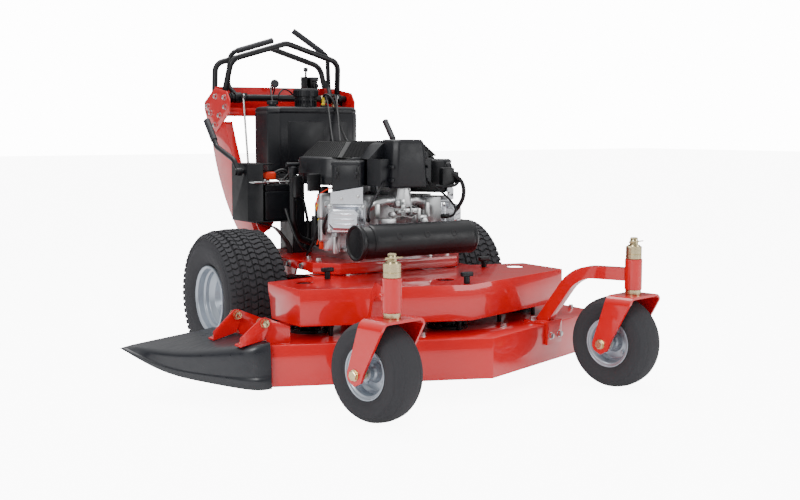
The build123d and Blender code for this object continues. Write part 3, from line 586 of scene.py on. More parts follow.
def math_node(tree, operation, a, b=0.0):
    """Node for one sum on one or two values."""
    return node(tree, "ShaderNodeMath", {0: a, 1: b}, operation=operation)


def four_sums(tree):
    """Product, sum, difference and quotient of two values in one tree."""
    return [lambda a, b, kind=kind: math_node(tree, kind, a, b)
            for kind in ("MULTIPLY", "ADD", "SUBTRACT", "DIVIDE")]


def end_tree(tree, instances, material):
    """Realize the instances, set their material and give them out."""
    real = node(tree, "GeometryNodeRealizeInstances", {0: instances})
    painted = node(tree, "GeometryNodeSetMaterial", {"Geometry": real, "Material": material})
    node(tree, "NodeGroupOutput", {0: painted})


def grown(tree, values, points=((0, 0, 0),), facing=None, size=None):
    """Run a tree on a few points and return the plain mesh that it makes."""
    mesh = bpy.data.meshes.new("points")
    mesh.from_pydata([tuple(p) for p in points], [], [])
    if facing:
        data = mesh.attributes.new("facing", "FLOAT_VECTOR", "POINT").data
        data.foreach_set("vector", [c for ray in facing for c in ray])
        mesh.attributes.new("size", "FLOAT", "POINT").data.foreach_set("value", size)
    holder = in_scene("points", mesh)
    modifier = holder.modifiers.new("grow", "NODES")
    modifier.node_group = tree
    for item in tree.interface.items_tree:
        if item.in_out == "INPUT" and item.name in values:
            modifier[item.identifier] = values[item.name]
    return baked(holder)


def tread_tree():
    """Rows of chevron blocks round the X axis, alternate rows turned and set half a block on."""
    tree, given = new_tree("turf_tread", [
        ("Rows", "Int"), ("Count", "Int"), ("Pitch", "Float"), ("Radius", "Float"), ("Crown", "Float"),
        ("Lean", "Float"), ("Block Width", "Float"), ("Block Length", "Float"), ("Block Height", "Float"),
        ("Chevron", "Float"), ("Material", "Material")])
    times, plus, minus, over = four_sums(tree)
    grid = node(tree, "GeometryNodeMeshGrid", {"Size X": given["Block Width"],
                                               "Size Y": given["Block Length"],
                                               "Vertices X": 3, "Vertices Y": 2})
    spot = node(tree, "ShaderNodeSeparateXYZ", {0: node(tree, "GeometryNodeInputPosition")})
    fold = times(math_node(tree, "ABSOLUTE", spot), given["Chevron"])
    bent = node(tree, "GeometryNodeSetPosition", {
        "Geometry": grid, "Offset": node(tree, "ShaderNodeCombineXYZ", {1: fold})})
    raise_by = node(tree, "ShaderNodeCombineXYZ", {2: given["Block Height"]})
    raised = node(tree, "GeometryNodeExtrudeMesh", {"Mesh": bent, "Offset": raise_by,
                                                    "Offset Scale": 1.0, "Individual": False})
    total = times(given["Rows"], given["Count"])
    line = node(tree, "GeometryNodeMeshLine", {"Count": total})
    index = node(tree, "GeometryNodeInputIndex")
    row = math_node(tree, "FLOOR", over(plus(index, 0.01), given["Count"]))
    odd = math_node(tree, "MODULO", row, 2.0)
    step = plus(index, times(odd, 0.5))
    angle = times(over(step, given["Count"]), math.tau)
    middle = times(minus(given["Rows"], 1.0), 0.5)
    x = times(minus(row, middle), given["Pitch"])
    drop = times(times(x, x), given["Crown"])
    radius = minus(given["Radius"], drop)
    y = times(radius, math_node(tree, "COSINE", angle))
    z = times(radius, math_node(tree, "SINE", angle))
    placed = node(tree, "GeometryNodeSetPosition", {
        "Geometry": line,
        "Position": node(tree, "ShaderNodeCombineXYZ", {0: x, 1: y, 2: z})})
    roll = minus(angle, math.pi / 2)
    outward = node(tree, "FunctionNodeEulerToRotation",
                   {0: node(tree, "ShaderNodeCombineXYZ", {0: roll})})
    own = node(tree, "ShaderNodeCombineXYZ", {1: times(x, given["Lean"]),
                                              2: times(odd, math.pi)})
    # A block's own turn comes before its lean, so the lean is taken the other way on turned rows.
    spin = node(tree, "FunctionNodeEulerToRotation", {0: own})
    facing = node(tree, "FunctionNodeRotateRotation", {0: outward, 1: spin},
                  rotation_space="LOCAL")
    blocks = node(tree, "GeometryNodeInstanceOnPoints", {
        "Points": placed, "Instance": raised, "Rotation": facing})
    end_tree(tree, blocks, given["Material"])
    return tree


def bolt_tree():
    """A hexagon head on a round washer at every point, facing along the point's own direction."""
    tree, given = new_tree("hexagon_bolts", [("Material", "Material")])
    washer = node(tree, "GeometryNodeMeshCylinder", {"Vertices": 16, "Radius": 0.72, "Depth": 0.16})
    head = node(tree, "GeometryNodeMeshCylinder", {"Vertices": 6, "Radius": 0.56, "Depth": 0.5})
    top = node(tree, "GeometryNodeMeshCone", {"Vertices": 6, "Side Segments": 1, "Radius Top": 0.46,
                                              "Radius Bottom": 0.56, "Depth": 0.06})
    parts = []
    for shape, rise in ((washer, 0.08), (head, 0.41), (top, 0.66)):
        moved = node(tree, "GeometryNodeTransform", {"Geometry": shape, "Translation": (0, 0, rise)})
        parts.append(moved)
    joined = node(tree, "GeometryNodeJoinGeometry")
    for part in parts:
        tree.links.new(part.outputs[0], joined.inputs[0])
    ray = node(tree, "GeometryNodeInputNamedAttribute", {"Name": "facing"}, data_type="FLOAT_VECTOR")
    size = node(tree, "GeometryNodeInputNamedAttribute", {"Name": "size"}, data_type="FLOAT")
    turn = node(tree, "FunctionNodeAlignRotationToVector", {"Vector": ray}, axis="Z")
    bolts = node(tree, "GeometryNodeInstanceOnPoints", {
        "Points": given["Geometry"], "Instance": joined, "Rotation": turn,
        "Scale": size})
    end_tree(tree, bolts, given["Material"])
    return tree


def ring_tree():
    """Bars in a ring about Z, leaning from a lower to an upper radius."""
    tree, given = new_tree("ring_of_bars", [
        ("Count", "Int"), ("Low Radius", "Float"), ("High Radius", "Float"), ("Low", "Float"),
        ("High", "Float"), ("Bar Width", "Float"), ("Bar Depth", "Float"), ("Material", "Material")])
    times, plus, minus, over = four_sums(tree)
    rise = minus(given["High"], given["Low"])
    reach = minus(given["High Radius"], given["Low Radius"])
    slope = math_node(tree, "ARCTAN2", reach, rise)
    squares = plus(times(rise, rise),
                        times(reach, reach))
    length = math_node(tree, "SQRT", squares)
    size = node(tree, "ShaderNodeCombineXYZ", {0: given["Bar Depth"], 1: given["Bar Width"], 2: length})
    bar = node(tree, "GeometryNodeMeshCube", {"Size": size})
    index = node(tree, "GeometryNodeInputIndex")
    angle = times(over(index, given["Count"]), math.tau)
    radius = times(plus(given["High Radius"], given["Low Radius"]), 0.5)
    height = times(plus(given["High"], given["Low"]), 0.5)
    spot = node(tree, "ShaderNodeCombineXYZ", {
        0: times(radius, math_node(tree, "COSINE", angle)),
        1: times(radius, math_node(tree, "SINE", angle)), 2: height})
    line = node(tree, "GeometryNodeMeshLine", {"Count": given["Count"]})
    placed = node(tree, "GeometryNodeSetPosition", {"Geometry": line, "Position": spot})
    turn = node(tree, "FunctionNodeEulerToRotation",
                {0: node(tree, "ShaderNodeCombineXYZ", {1: slope, 2: angle})})
    bars = node(tree, "GeometryNodeInstanceOnPoints", {
        "Points": placed, "Instance": bar, "Rotation": turn})
    end_tree(tree, bars, given["Material"])
    return tree


TREES = {"turf_tread": tread_tree, "hexagon_bolts": bolt_tree, "ring_of_bars": ring_tree}


def tree_of(name):
    """The named geometry tree, made the first time it is asked for."""
    return bpy.data.node_groups.get(name) or TREES[name]()


def add_grown(bm, kind, place=None, **values):
    """Draw what a tree makes into a mesh, moved to its place."""
    named = {key.replace("_", " ").title(): value for key, value in values.items()}
    mesh = grown(tree_of(kind), named)
    mesh.transform(place or Matrix())
    bm.from_mesh(mesh)
    bpy.data.meshes.remove(mesh)


def bolts(name, like, material, spots):
    """One piece of hexagon bolts: each spot is a place, the way it faces and its size."""
    points, facing, size = zip(*spots)
    mesh = grown(tree_of("hexagon_bolts"), {"Material": finish_of(material)}, points, facing,
                 list(map(float, size)))
    bm = bmesh.new()
    bm.from_mesh(mesh)
    return piece(name, bm, like, material)


# ---------------------------------------------------------------- wheels

def in_caster(side):
    """Place of a caster: turned by its toe about its spindle."""
    return Matrix.Translation((side * CASTER_X, 0, 0)) @ Matrix.Rotation(math.radians(CASTER_TOE), 4, "Z")


def on_caster_axle(side):
    """Place of a caster wheel, its axle along X."""
    return in_caster(side) @ Matrix.Translation((0, CASTER_TRAIL, CASTER_R))


def tyre_section(half_w, r, bead, wall, square):
    """Closed (x, r) section of a tyre: bead, bulged sidewall, shoulder and crowned tread."""
    shoulder = half_w * square
    outside = [(half_w * 0.76, bead), (half_w * 0.80, bead + 7), (half_w * 0.93, bead + (r - bead) * 0.25),
               (half_w, (bead + r) / 2 + 2), (half_w * 0.94, bead + (r - bead) * 0.74),
               (shoulder, r - half_w * 0.10), (shoulder * 0.5, r - half_w * 0.025), (0, r)]
    outer = [(p.x, p.y) for p in rounded([(*p, 0) for p in outside], 40, 9)]
    full = outer + [(-x, q) for x, q in outer[-2::-1]]
    inner = [(x * (half_w - wall) / half_w, max(q - wall, bead)) for x, q in reversed(full)]
    return full + inner


def surface_radius(section, x):
    """Outer radius of a tyre section at a distance from its middle."""
    outer = section[:len(section) // 4]
    spans = [(p, q) for p, q in zip(outer, outer[1:]) if min(p[0], q[0]) <= abs(x) <= max(p[0], q[0])]
    heights = [p[1] + (q[1] - p[1]) * (abs(x) - p[0]) / ((q[0] - p[0]) or 1) for p, q in spans]
    return max(heights)


def mould_ring(bm, section, x, width, rise, place):
    """Raised line round a tyre at a distance from its middle."""
    r = surface_radius(section, x)
    ridge = [(x - width, r - 1), (x, r + rise), (x + width, r - 1), (x, r - 3)]
    lathe(bm, ridge, CENTRE, ACROSS, 96, True, place)


def caster_tyre(name, side):
    """Smooth pneumatic caster tyre with two mould lines on each side."""
    bm = bmesh.new()
    section = tyre_section(CASTER_HALF_W, CASTER_R, CASTER_BEAD, 9, 0.62)
    lathe(bm, section, CENTRE, ACROSS, 96, True, on_caster_axle(side))
    widest = max(x for x, _ in section)
    for x in (0.52 * widest, 0.94 * widest):
        for sign in (1, -1):
            mould_ring(bm, section, sign * x, 1.4, 0.5, on_caster_axle(side))
    cover(bm, f"caster_tyre_{name}", "rubber", "tyre_rubber")


def soft_section(profile, radius):
    """Closed section with its corners rounded."""
    return [(p.x, p.y) for p in rounded([(a, b, 0) for a, b in profile], radius, 4, True)]


def soft_ring(bm, profile, radius, start, along, steps, turn=None):
    """Ring about a line whose closed section has rounded corners."""
    lathe(bm, soft_section(profile, radius), start, along, steps, True, turn)


def caster_rim(name, side):
    """Pressed rim in two halves round a tube hub, with rolled flanges and wheel bolts."""
    r, place = CASTER_BEAD, on_caster_axle(side)
    bm = bmesh.new()
    half = [(46, 10.2), (46, 17), (26, 19), (21, 24), (7, 31), (4, 52), (14, 60), (38, 62), (42, 66),
            (43.5, r + 3), (46.5, r + 3), (46.5, r), (44.5, r - 3), (41, r - 1)]
    section = half + [(-x, q) for x, q in reversed(half)]
    soft_ring(bm, section, 3, CENTRE, ACROSS, 72, place)
    for sign in (1, -1):
        soft_ring(bm, [(sign * 40, 10.3), (sign * 40, 24), (sign * 45.5, 22), (sign * 45.5, 10.3)], 1.5,
                  CENTRE, ACROSS, 40, place)
        for k in range(4):
            a = math.tau * (k + 0.5) / 4
            spot = Vector((sign * 6, 42 * math.cos(a), 42 * math.sin(a)))
            hexagon(bm, spot, (sign, 0, 0), 11, 6, place)
    cover(bm, f"caster_rim_{name}", "enamel", "silver_wheel_enamel")


def fork_strip(bm, side):
    """Fork bent from one strip: rounded bends at the crown, raked legs with round feet."""
    half, thick, top, foot_r = 78, 4, 286, 30
    crown = rounded([(-half, 0, CASTER_R - foot_r), (-half, 0, top), (half, 0, top),
                     (half, 0, CASTER_R - foot_r)], 20, 6)
    line = []
    for a, b in zip(crown, crown[1:]):
        parts = 14 if abs(a.z - b.z) > 60 else 1
        line += [a.lerp(b, k / parts) for k in range(parts)]
    line.append(crown[-1])
    rings = []
    for k, p in enumerate(line):
        ahead = heading(line, k)
        out = Vector((-ahead.z, 0, ahead.x)) * thick
        share = max(0.0, min(1.0, (top - 14 - p.z) / (top - 14 - CASTER_R)))
        middle, reach = CASTER_TRAIL * share, 45 + (foot_r - 45) * share
        if p.z < CASTER_R:
            reach = math.sqrt(max(foot_r ** 2 - (CASTER_R - p.z) ** 2, 4.0))
        rings.append([in_caster(side) @ (p + out * s + Vector((0, middle + reach * t, 0)))
                      for s, t in ((-1, -1), (1, -1), (1, 1), (-1, 1))])
    ease(bm, skin(bm, rings), 1.3, 2, 60)


def caster_fork(name, side):
    """Painted fork of one caster."""
    bm = bmesh.new()
    fork_strip(bm, side)
    cover(bm, f"caster_fork_{name}", "paint", "red_powder_coat", 40)


def caster_hardware(name, side):
    """Plated spacers, clip pin and axle bolt of one caster."""
    place = in_caster(side)
    bm = bmesh.new()
    lathe(bm, [(0, 11), (0, 23), (1, 24), (14.4, 24), (15.4, 23), (15.4, 11)], (0, 0, 290), UP, 48, True,
          place)
    lathe(bm, [(0, 13), (0, 23), (1.2, 24), (14, 24), (14.8, 23), (15.6, 24), (37, 24), (38.4, 22.5),
               (38.4, 13)],
          (0, 0, 397.6), UP, 48, True, place)
    lathe(bm, [(0, 13), (0, 19), (4, 18), (4, 13)], (0, 0, 436), UP, 40, True, place)
    lathe(bm, [(0, 12.6), (12, 12.6), (14, 11.6), (20, 11.6), (22, 10), (22, 0.1)], (0, 0, 440.5), UP, 40,
          turn=place)
    rod(bm, (-24, 0, 449), (24, 0, 449), 3, 14, 0.8, place)
    pipe(bm, [(25, 0, 449), (25, -20, 452), (-24, -20, 452), (-25, -2, 449)], 1.8, 10, 10, place)
    y, z = CASTER_TRAIL, CASTER_R
    rod(bm, (-86, y, z), (90, y, z), 9.6, 24, 1, place)
    hexagon(bm, (-82, y, z), (-1, 0, 0), 25, 10, place)
    hexagon(bm, (82, y, z), ACROSS, 25, 10, place)
    for a, b in ((46.6, 73.8), (-73.8, -46.6)):
        rod(bm, (a, y, z), (b, y, z), 15.5, 28, 1, place)
    piece(f"caster_{name}_zinc", bm, f"caster_spindle_{name}", "yellow_zinc", (f"caster_spindle_{name}",),
          30)


def drive_rim(name, side):
    """Stepped drive rim with rolled flanges, dished disc, hub nut and wheel nuts."""
    r, half = DRIVE_BEAD, DRIVE_HALF_W
    at = Matrix.Translation((side * DRIVE_X, DRIVE_Y, DRIVE_R)) @ Matrix.Diagonal((side, 1, 1, 1))
    bm = bmesh.new()
    profile = [(-95, r - 9), (-95, r + 5), (-89, r + 5), (-89, r), (84, r), (88, r + 5), (95, r + 5),
               (96, r),
               (90, r - 6), (70, r - 8), (66, r - 14), (54, r - 16), (50, r - 24), (half - 66, 70),
               (half - 86, 62),
               (half - 84, 30), (half - 84, 12.6), (half - 90, 12.6), (half - 90, 66), (44, r - 28),
               (46, r - 20),
               (40, r - 16), (-60, r - 16)]
    soft_ring(bm, profile, 3.5, CENTRE, ACROSS, 96, at)
    lathe(bm, [(half - 130, 13), (half - 130, 30), (half - 96, 30), (half - 96, 62), (half - 90, 62),
               (half - 90, 13)],
          CENTRE, ACROSS, 40, True, at)
    rod(bm, (-half - 69, 0, 0), (half - 80, 0, 0), 12.4, 24, 0, at)
    hexagon(bm, (half - 84, 0, 0), ACROSS, 38, 14, at)
    for k in range(4):
        a = math.tau * (k + 0.5) / 4
        hexagon(bm, (half - 86, 50 * math.cos(a), 50 * math.sin(a)), ACROSS, 19, 13, at)
    rod(bm, (42, 0, -r + 24), (62, 0, -r + 30), 4, 12, 1, at)
    cover(bm, f"drive_rim_{name}", "enamel", "silver_wheel_enamel")


def drive_tyre(name, side):
    """Turf tyre: carcass with sidewall rings, then chevron blocks and shoulder lugs."""
    sizes = bpy.context.scene.mower_sizes
    depth = sizes.tread_depth * 1000
    at = Matrix.Translation((side * DRIVE_X, DRIVE_Y, DRIVE_R))
    bm = bmesh.new()
    section = tyre_section(DRIVE_HALF_W, DRIVE_R - depth, DRIVE_BEAD, 12, 0.80)
    lathe(bm, section, CENTRE, ACROSS, 128, True, at)
    widest = max(x for x, _ in section)
    for x in (0.90 * widest, 0.97 * widest):
        for sign in (1, -1):
            mould_ring(bm, section, sign * x, 1.8, 0.8, at)
    cover(bm, f"drive_tyre_{name}", "carcass", "tyre_rubber")
    bm = bmesh.new()
    rubber = finish_of("tyre_rubber")
    edge = 0.72 * DRIVE_HALF_W
    pitch = 2 * edge / (sizes.tread_rows - 1)
    base = DRIVE_R - depth - 3.5
    crown = (DRIVE_R - depth - surface_radius(section, edge)) / edge ** 2
    add_grown(bm, "turf_tread", at, rows=sizes.tread_rows, count=sizes.tread_count, pitch=pitch,
              radius=base,
              crown=crown, lean=2 * crown, block_width=pitch * 0.86, block_length=15.5,
              block_height=depth + 2.9, chevron=0.5, material=rubber)
    shoulder = 0.86 * widest
    add_grown(bm, "turf_tread", at, rows=2, count=sizes.tread_count, pitch=2 * shoulder,
              radius=surface_radius(section, shoulder) - 4, crown=0.0, lean=0.62 / shoulder,
              block_width=17.0,
              block_length=14.0, block_height=depth + 1.5, chevron=0.1, material=rubber)
    bmesh.ops.recalc_face_normals(bm, faces=bm.faces)
    piece(f"drive_tyre_{name}_tread", bm, f"drive_tyre_{name}", "tyre_rubber")


class MOWER_OT_casters(bpy.types.Operator):
    """Build both casters: fork, plated hardware, rim and tyre"""
    bl_idname = "mower.casters"
    bl_label = "Casters"

    def execute(self, context):
        for name, side in SIDES.items():
            caster_tyre(name, side)
            caster_rim(name, side)
            caster_fork(name, side)
            caster_hardware(name, side)
        return {"FINISHED"}


class MOWER_OT_drive_wheels(bpy.types.Operator):
    """Build both drive wheels: rim, carcass and tread"""
    bl_idname = "mower.drive_wheels"
    bl_label = "Drive wheels"

    def execute(self, context):
        for name, side in SIDES.items():
            drive_rim(name, side)
            drive_tyre(name, side)
        return {"FINISHED"}


# ---------------------------------------------------------------- deck and chute

class MOWER_OT_sheet_metal(bpy.types.Operator):
    """Ease the edges of the painted plates and paint them"""
    bl_idname = "mower.sheet_metal"
    bl_label = "Sheet metal"

    def execute(self, context):
        red = ["deck_shell", "belt_cover", "engine_frame", "caster_arm_left", "caster_arm_right",
               "handle_upright_left", "handle_upright_right", "handle_side_plates", "console_panel",
               "chute_hinge_brackets", "chute_ears"]
        for name in red:
            eased(name, "red_powder_coat")
        # Painted shade: the spindle housings take the black enamel to darken the gap under the belt cover,
        # where shade falls.
        for name in ("rear_frame", "control_bracket", "transaxles", "spindle_housings"):
            eased(name, "black_satin_enamel", 0.001)
        eased("engine_block", "cast_aluminium", 0.001)
        for name in ("blade_spindle_left", "blade_spindle_centre", "blade_spindle_right"):
            paint_node(name, "mill_steel")
        for name in ("control_rod_left", "control_rod_right", "control_arm_left", "control_arm_right"):
            paint_node(name, "bright_zinc")
        paint_node("drive_belts", "hose_rubber")
        return {"FINISHED"}


def between(a, b, share):
    """Points part of the way from one line to another."""
    return [p.lerp(q, share) for p, q in zip(a, b)]


def chute_rows():
    """Lines of the deflector from the hinge over the ridge to the hem, front to rear."""
    x = -613
    hinge = [(x, 364, 189), (x, 400, 189), (x, 480, 187), (x, 560, 184), (x, 640, 181), (x, 743, 178)]
    ridge = [(x, 350, 188), (-660, 356, 185), (-705, 400, 174), (-760, 490, 157), (-815, 600, 141),
             (-868, 743, 150)]
    hem = [(x, 342, 58), (-650, 342, 55), (-692, 400, 57), (-752, 520, 62), (-818, 650, 70),
           (-915, 743, 142)]
    hinge, ridge, hem = [[Vector(p) for p in row] for row in (hinge, ridge, hem)]
    crease = between(ridge, hem, 0.72)
    lip = [p + Vector((-3.0, -4.0, 0)) for p in between(ridge, hem, 0.80)]
    return [hinge, between(hinge, ridge, 0.5), between(hinge, ridge, 0.88), between(ridge, hem, 0.14),
            between(ridge, hem, 0.4), crease, lip, hem]


def chute_cover():
    """Moulded deflector: a thick smooth sheet with a soft ridge and a stepped lip."""
    bm = bmesh.new()
    rows = [[bm.verts.new(p) for p in row] for row in chute_rows()]
    for low, high in zip(rows, rows[1:]):
        for k in range(len(low) - 1):
            bm.faces.new((low[k], high[k], high[k + 1], low[k + 1]))
    bm.transform(TO_FRAME)
    bmesh.ops.recalc_face_normals(bm, faces=bm.faces)
    if sum(f.normal.z for f in bm.faces) < 0:
        bmesh.ops.reverse_faces(bm, faces=bm.faces)
    layer = bm.edges.layers.float.new("crease_edge")
    for edge in bm.edges:
        if edge.is_boundary:
            edge[layer] = 0.9
        elif edge.verts[0] in rows[5] and edge.verts[1] in rows[5]:
            edge[layer] = 0.7
    mesh = bpy.data.meshes.new("chute")
    bm.to_mesh(mesh)
    bm.free()
    holder = in_scene("chute", mesh)
    smooth = holder.modifiers.new("smooth", "SUBSURF")
    smooth.levels = smooth.render_levels = 3
    wall = holder.modifiers.new("wall", "SOLIDIFY")
    wall.thickness, wall.offset, wall.use_even_offset = 0.006, -1, True
    made = baked(holder)
    for polygon in made.polygons:
        polygon.use_smooth = True
    settle("chute_moulding", made, "chute_deflector", "chute_rubber", ("chute_deflector",), 40)


def chute_fittings():
    """Zinc bolts of the ears and the pivot bolts on the deck brackets."""
    ears, pivots = [], []
    for y, seat, fall in ((380, 191, 13), (566, 187.5, 18)):
        for share in (0.25, 0.72):
            spot = seat - fall + fall * share
            ears.append(((-693 + 73 * share, y + 21, spot + 5), UP, 15))
        pivots.append(((CHUTE_PIVOT_X, y - 2, CHUTE_PIVOT_Z), (0, -1, 0), 19))
        pivots.append(((CHUTE_PIVOT_X, y + 22, CHUTE_PIVOT_Z), (0, 1, 0), 17))
        pivots += [((x, y + 30, 183), UP, 13) for x in (-592, -545)]
    bolts("chute_ear_bolts", "chute_ears", "yellow_zinc", ears)
    bolts("chute_pivot_bolts", "chute_hinge_brackets", "yellow_zinc", pivots)


class MOWER_OT_chute(bpy.types.Operator):
    """Build the moulded discharge deflector and its bolts"""
    bl_idname = "mower.chute"
    bl_label = "Discharge chute"

    def execute(self, context):
        chute_cover()
        chute_fittings()
        return {"FINISHED"}


def cover_knob(name, x, y):
    """Moulded tee knob with a ribbed skirt on a plated stud."""
    bm = bmesh.new()
    rod(bm, (x, y, 323.6), (x, y, 345), 8.8, 20, 1)
    add_grown(bm, "ring_of_bars", Matrix.Translation((x, y, 0)), count=14, low_radius=8.8, high_radius=8.4,
              low=325,
              high=344, bar_width=1.6, bar_depth=1.2, material=finish_of("nylon_moulding"))
    block(bm, (x - 20, x + 20), (y - 8, y + 8), (345, 359), 3.5, segments=3)
    cover(bm, f"cover_knob_{name}", "moulding", "nylon_moulding")
    bm = bmesh.new()
    rod(bm, (x, y, 295.5), (x, y, 325), 4.9, 16, 0.5)
    piece(f"cover_knob_{name}_stud", bm, f"cover_knob_{name}", "bright_zinc")


def deck_bolts():
    """Bolt heads of the deck, the engine plate, the cover and the handle plates."""
    spots = []
    reach = (DECK_TIP_Y * 1000 + DECK_SLOPE * CASTER_X) / math.hypot(1, DECK_SLOPE)
    for side in (1, -1):
        turn = Matrix.Rotation(side * math.atan(DECK_SLOPE), 4, "Z")
        arm = Matrix.Translation((side * CASTER_X, 0, 0)) @ turn
        for x in (-28, 28):
            spots.append((arm @ Vector((x, reach - 9, 140)), turn @ Vector((0, -1, 0)), 16))
        spots += [(arm @ Vector((x, reach + 50, 185)), UP, 17) for x in (-33, 33)]
        spots += [((side * x, y, 361), UP, 15) for x, y in ((250, 735), (250, 800), (140, 675),
                                                            (262, 1000))]
        spots += [((side * 128, y, 385), UP, 14) for y in (705, 800, 955)]
        spots += [((side * x, y, 177), UP, 15) for x, y in ((150, 275), (330, 330), (560, 700), (585, 470))]
        for y, z in ((1500, 905), (1570, 870), (1420, 900), (1415, 865), (1545, 845), (1465, 835),
                     (1510, 800)):
            spots.append(((side * 264, y, z), (side, 0, 0), 15))
        spots += [((side * 285, y, 345), (side, 0, 0), 15) for y in (780, 870, 1060)]
    bolts("frame_bolts", "engine_frame", "bright_zinc", spots)


class MOWER_OT_deck_fittings(bpy.types.Operator):
    """Build the cover knobs, bolt heads and the parts seen in the belt gap"""
    bl_idname = "mower.deck_fittings"
    bl_label = "Deck fittings"

    def execute(self, context):
        for name, (x, y) in {"centre": (0, 262), "left": (300, 585), "right": (-300, 585)}.items():
            cover_knob(name, x, y)
        deck_bolts()
        bm = bmesh.new()
        for x, y in ((0, 300), (-200, 365), (200, 365), (-380, 420), (380, 420)):
            rod(bm, (x, y, 177), (x, y, 205), 7, 16, 1)
            hexagon(bm, (x, y, 203), UP, 16, 8)
        piece("cover_studs", bm, "deck_shell", "black_satin_enamel")
        return {"FINISHED"}


# ---------------------------------------------------------------- engine

def octagon(w, d, cut):
    """Corners of a rectangle with cut corners, centred on the origin."""
    x, y = w / 2, d / 2
    return [(-x + cut, -y), (x - cut, -y), (x, -y + cut), (x, y - cut), (x - cut, y), (-x + cut, y),
            (-x, y - cut), (-x, -y + cut)]


def shroud_ring(inset, z):
    """Points of the fan shroud's rounded octagon, one on each ray from the crank axis."""
    plan = [(-150, 690), (150, 690), (222, 760), (222, 930), (160, 1004), (-160, 1004), (-222, 930),
            (-222, 760)]
    soft = rounded([(x, y - CRANK_Y, 0) for x, y in plan], 26, 6, True)
    made = []
    for a in turns(SHROUD_RAYS):
        ray = Vector((math.cos(a), math.sin(a)))
        for p, q in zip(soft, soft[1:] + soft[:1]):
            side = (q - p).to_2d()
            cross = ray.x * side.y - ray.y * side.x
            if abs(cross) < 1e-9:
                continue
            reach = (p.x * side.y - p.y * side.x) / cross
            share = (p.x * ray.y - p.y * ray.x) / cross
            if reach > 0 and -1e-6 <= share <= 1 + 1e-6:
                made.append(Vector((ray.x * (reach - inset), ray.y * (reach - inset) + CRANK_Y, z)))
                break
    return made


def round_ring(r, z):
    """Points of a circle about the crank axis, one on each ray."""
    return [Vector((r * math.cos(a), CRANK_Y + r * math.sin(a), z)) for a in turns(SHROUD_RAYS)]


def along_cowl(side, low, high):
    """Span along a cowl's face, measured inwards from the bank's middle on either side."""
    return sorted((-side * low, -side * high))


def fan_guard():
    """Sloping guard round the screen: corner posts, a rim and upright bars over a dark inner wall, a black
    sheet that paints the shade between the bars.
    """
    bm = bmesh.new()
    levels = [(695, 193, 131), (745, 145, 107)]
    rings = []
    # Painted shade: the closed black band behind the bars stands for the shade seen through the guard.
    for inset in (0.0, 3.0):
        for z, w, d in (levels if inset == 0 else levels[::-1]):
            corners = [(x, y, z) for x, y in octagon(2 * (w - inset), 2 * (d - inset), 14)]
            rings.append([p + Vector((0, GUARD_Y, 0)) for p in rounded([(*q[:2], z) for q in corners], 8,
                                                                       3, True)])
    skin(bm, rings, True)
    lathe(bm, [(741.5, 99.5), (745, 99.5), (745, 108), (741.5, 108)], CRANK_FOOT, UP, 72, True)
    low, high = [[Vector((x, y + GUARD_Y, z)) for x, y in octagon(2 * w, 2 * d, 14)] for z, w, d in levels]
    for k in range(8):
        a, b = low[k], low[(k + 1) % 8]
        c, d = high[k], high[(k + 1) % 8]
        count = max(1, int((b - a).length / 14))
        for step in range(count + 1):
            share = step / count
            foot, head = a.lerp(b, share), c.lerp(d, share)
            rod(bm, foot.lerp(head, 0.04), foot.lerp(head, 0.96), 1.7, 8)
    piece("fan_guard", bm, "blower_housing", "black_steel_and_painted_shade")


def blower_housing():
    """Moulded fan shroud with soft edges, a raised inlet lip and a cowl over each cylinder."""
    bm = bmesh.new()
    rings = [shroud_ring(5, 604), shroud_ring(0, 612), shroud_ring(0, 640), shroud_ring(1.5, 642),
             shroud_ring(2, 684), shroud_ring(5, 691), shroud_ring(12, 695), round_ring(136, 695),
             round_ring(134, 702), round_ring(126, 703), round_ring(122.5, 698), round_ring(122.5, 604)]
    skin(bm, rings, True)
    for side in (1, -1):
        turn = BANK[side]
        block(bm, along_cowl(side, -66, 30), (-262, -124), (576, 686), 9, turn, 4)
        block(bm, along_cowl(side, -60, 24), (-263.5, -256), (584, 672), 3, turn)
        block(bm, along_cowl(side, -66.5, 30.5), (-262.5, -258), (672, 681), 1.5, turn)
        for x in (-54, 10):
            block(bm, along_cowl(side, x, x + 8), (-267, -261), (630, 664), 1.5, turn)
            block(bm, along_cowl(side, x + 2, x + 14), (-268, -262), (641, 651), 1.5, turn)
    piece("blower_shroud", bm, "blower_housing", "nylon_moulding", ("blower_housing",))
    # Painted shade: thin black blocks beside the clips on each cowl face stand for the dark slots.
    bm = bmesh.new()
    for side in (1, -1):
        turn = BANK[side]
        for x in (-46, 20):
            block(bm, along_cowl(side, x, x + 7), (-264.6, -262), (624, 668), 0.6, turn)
    piece("shroud_slot_painted_shade", bm, "blower_housing", "black_steel_and_painted_shade")
    fan_guard()


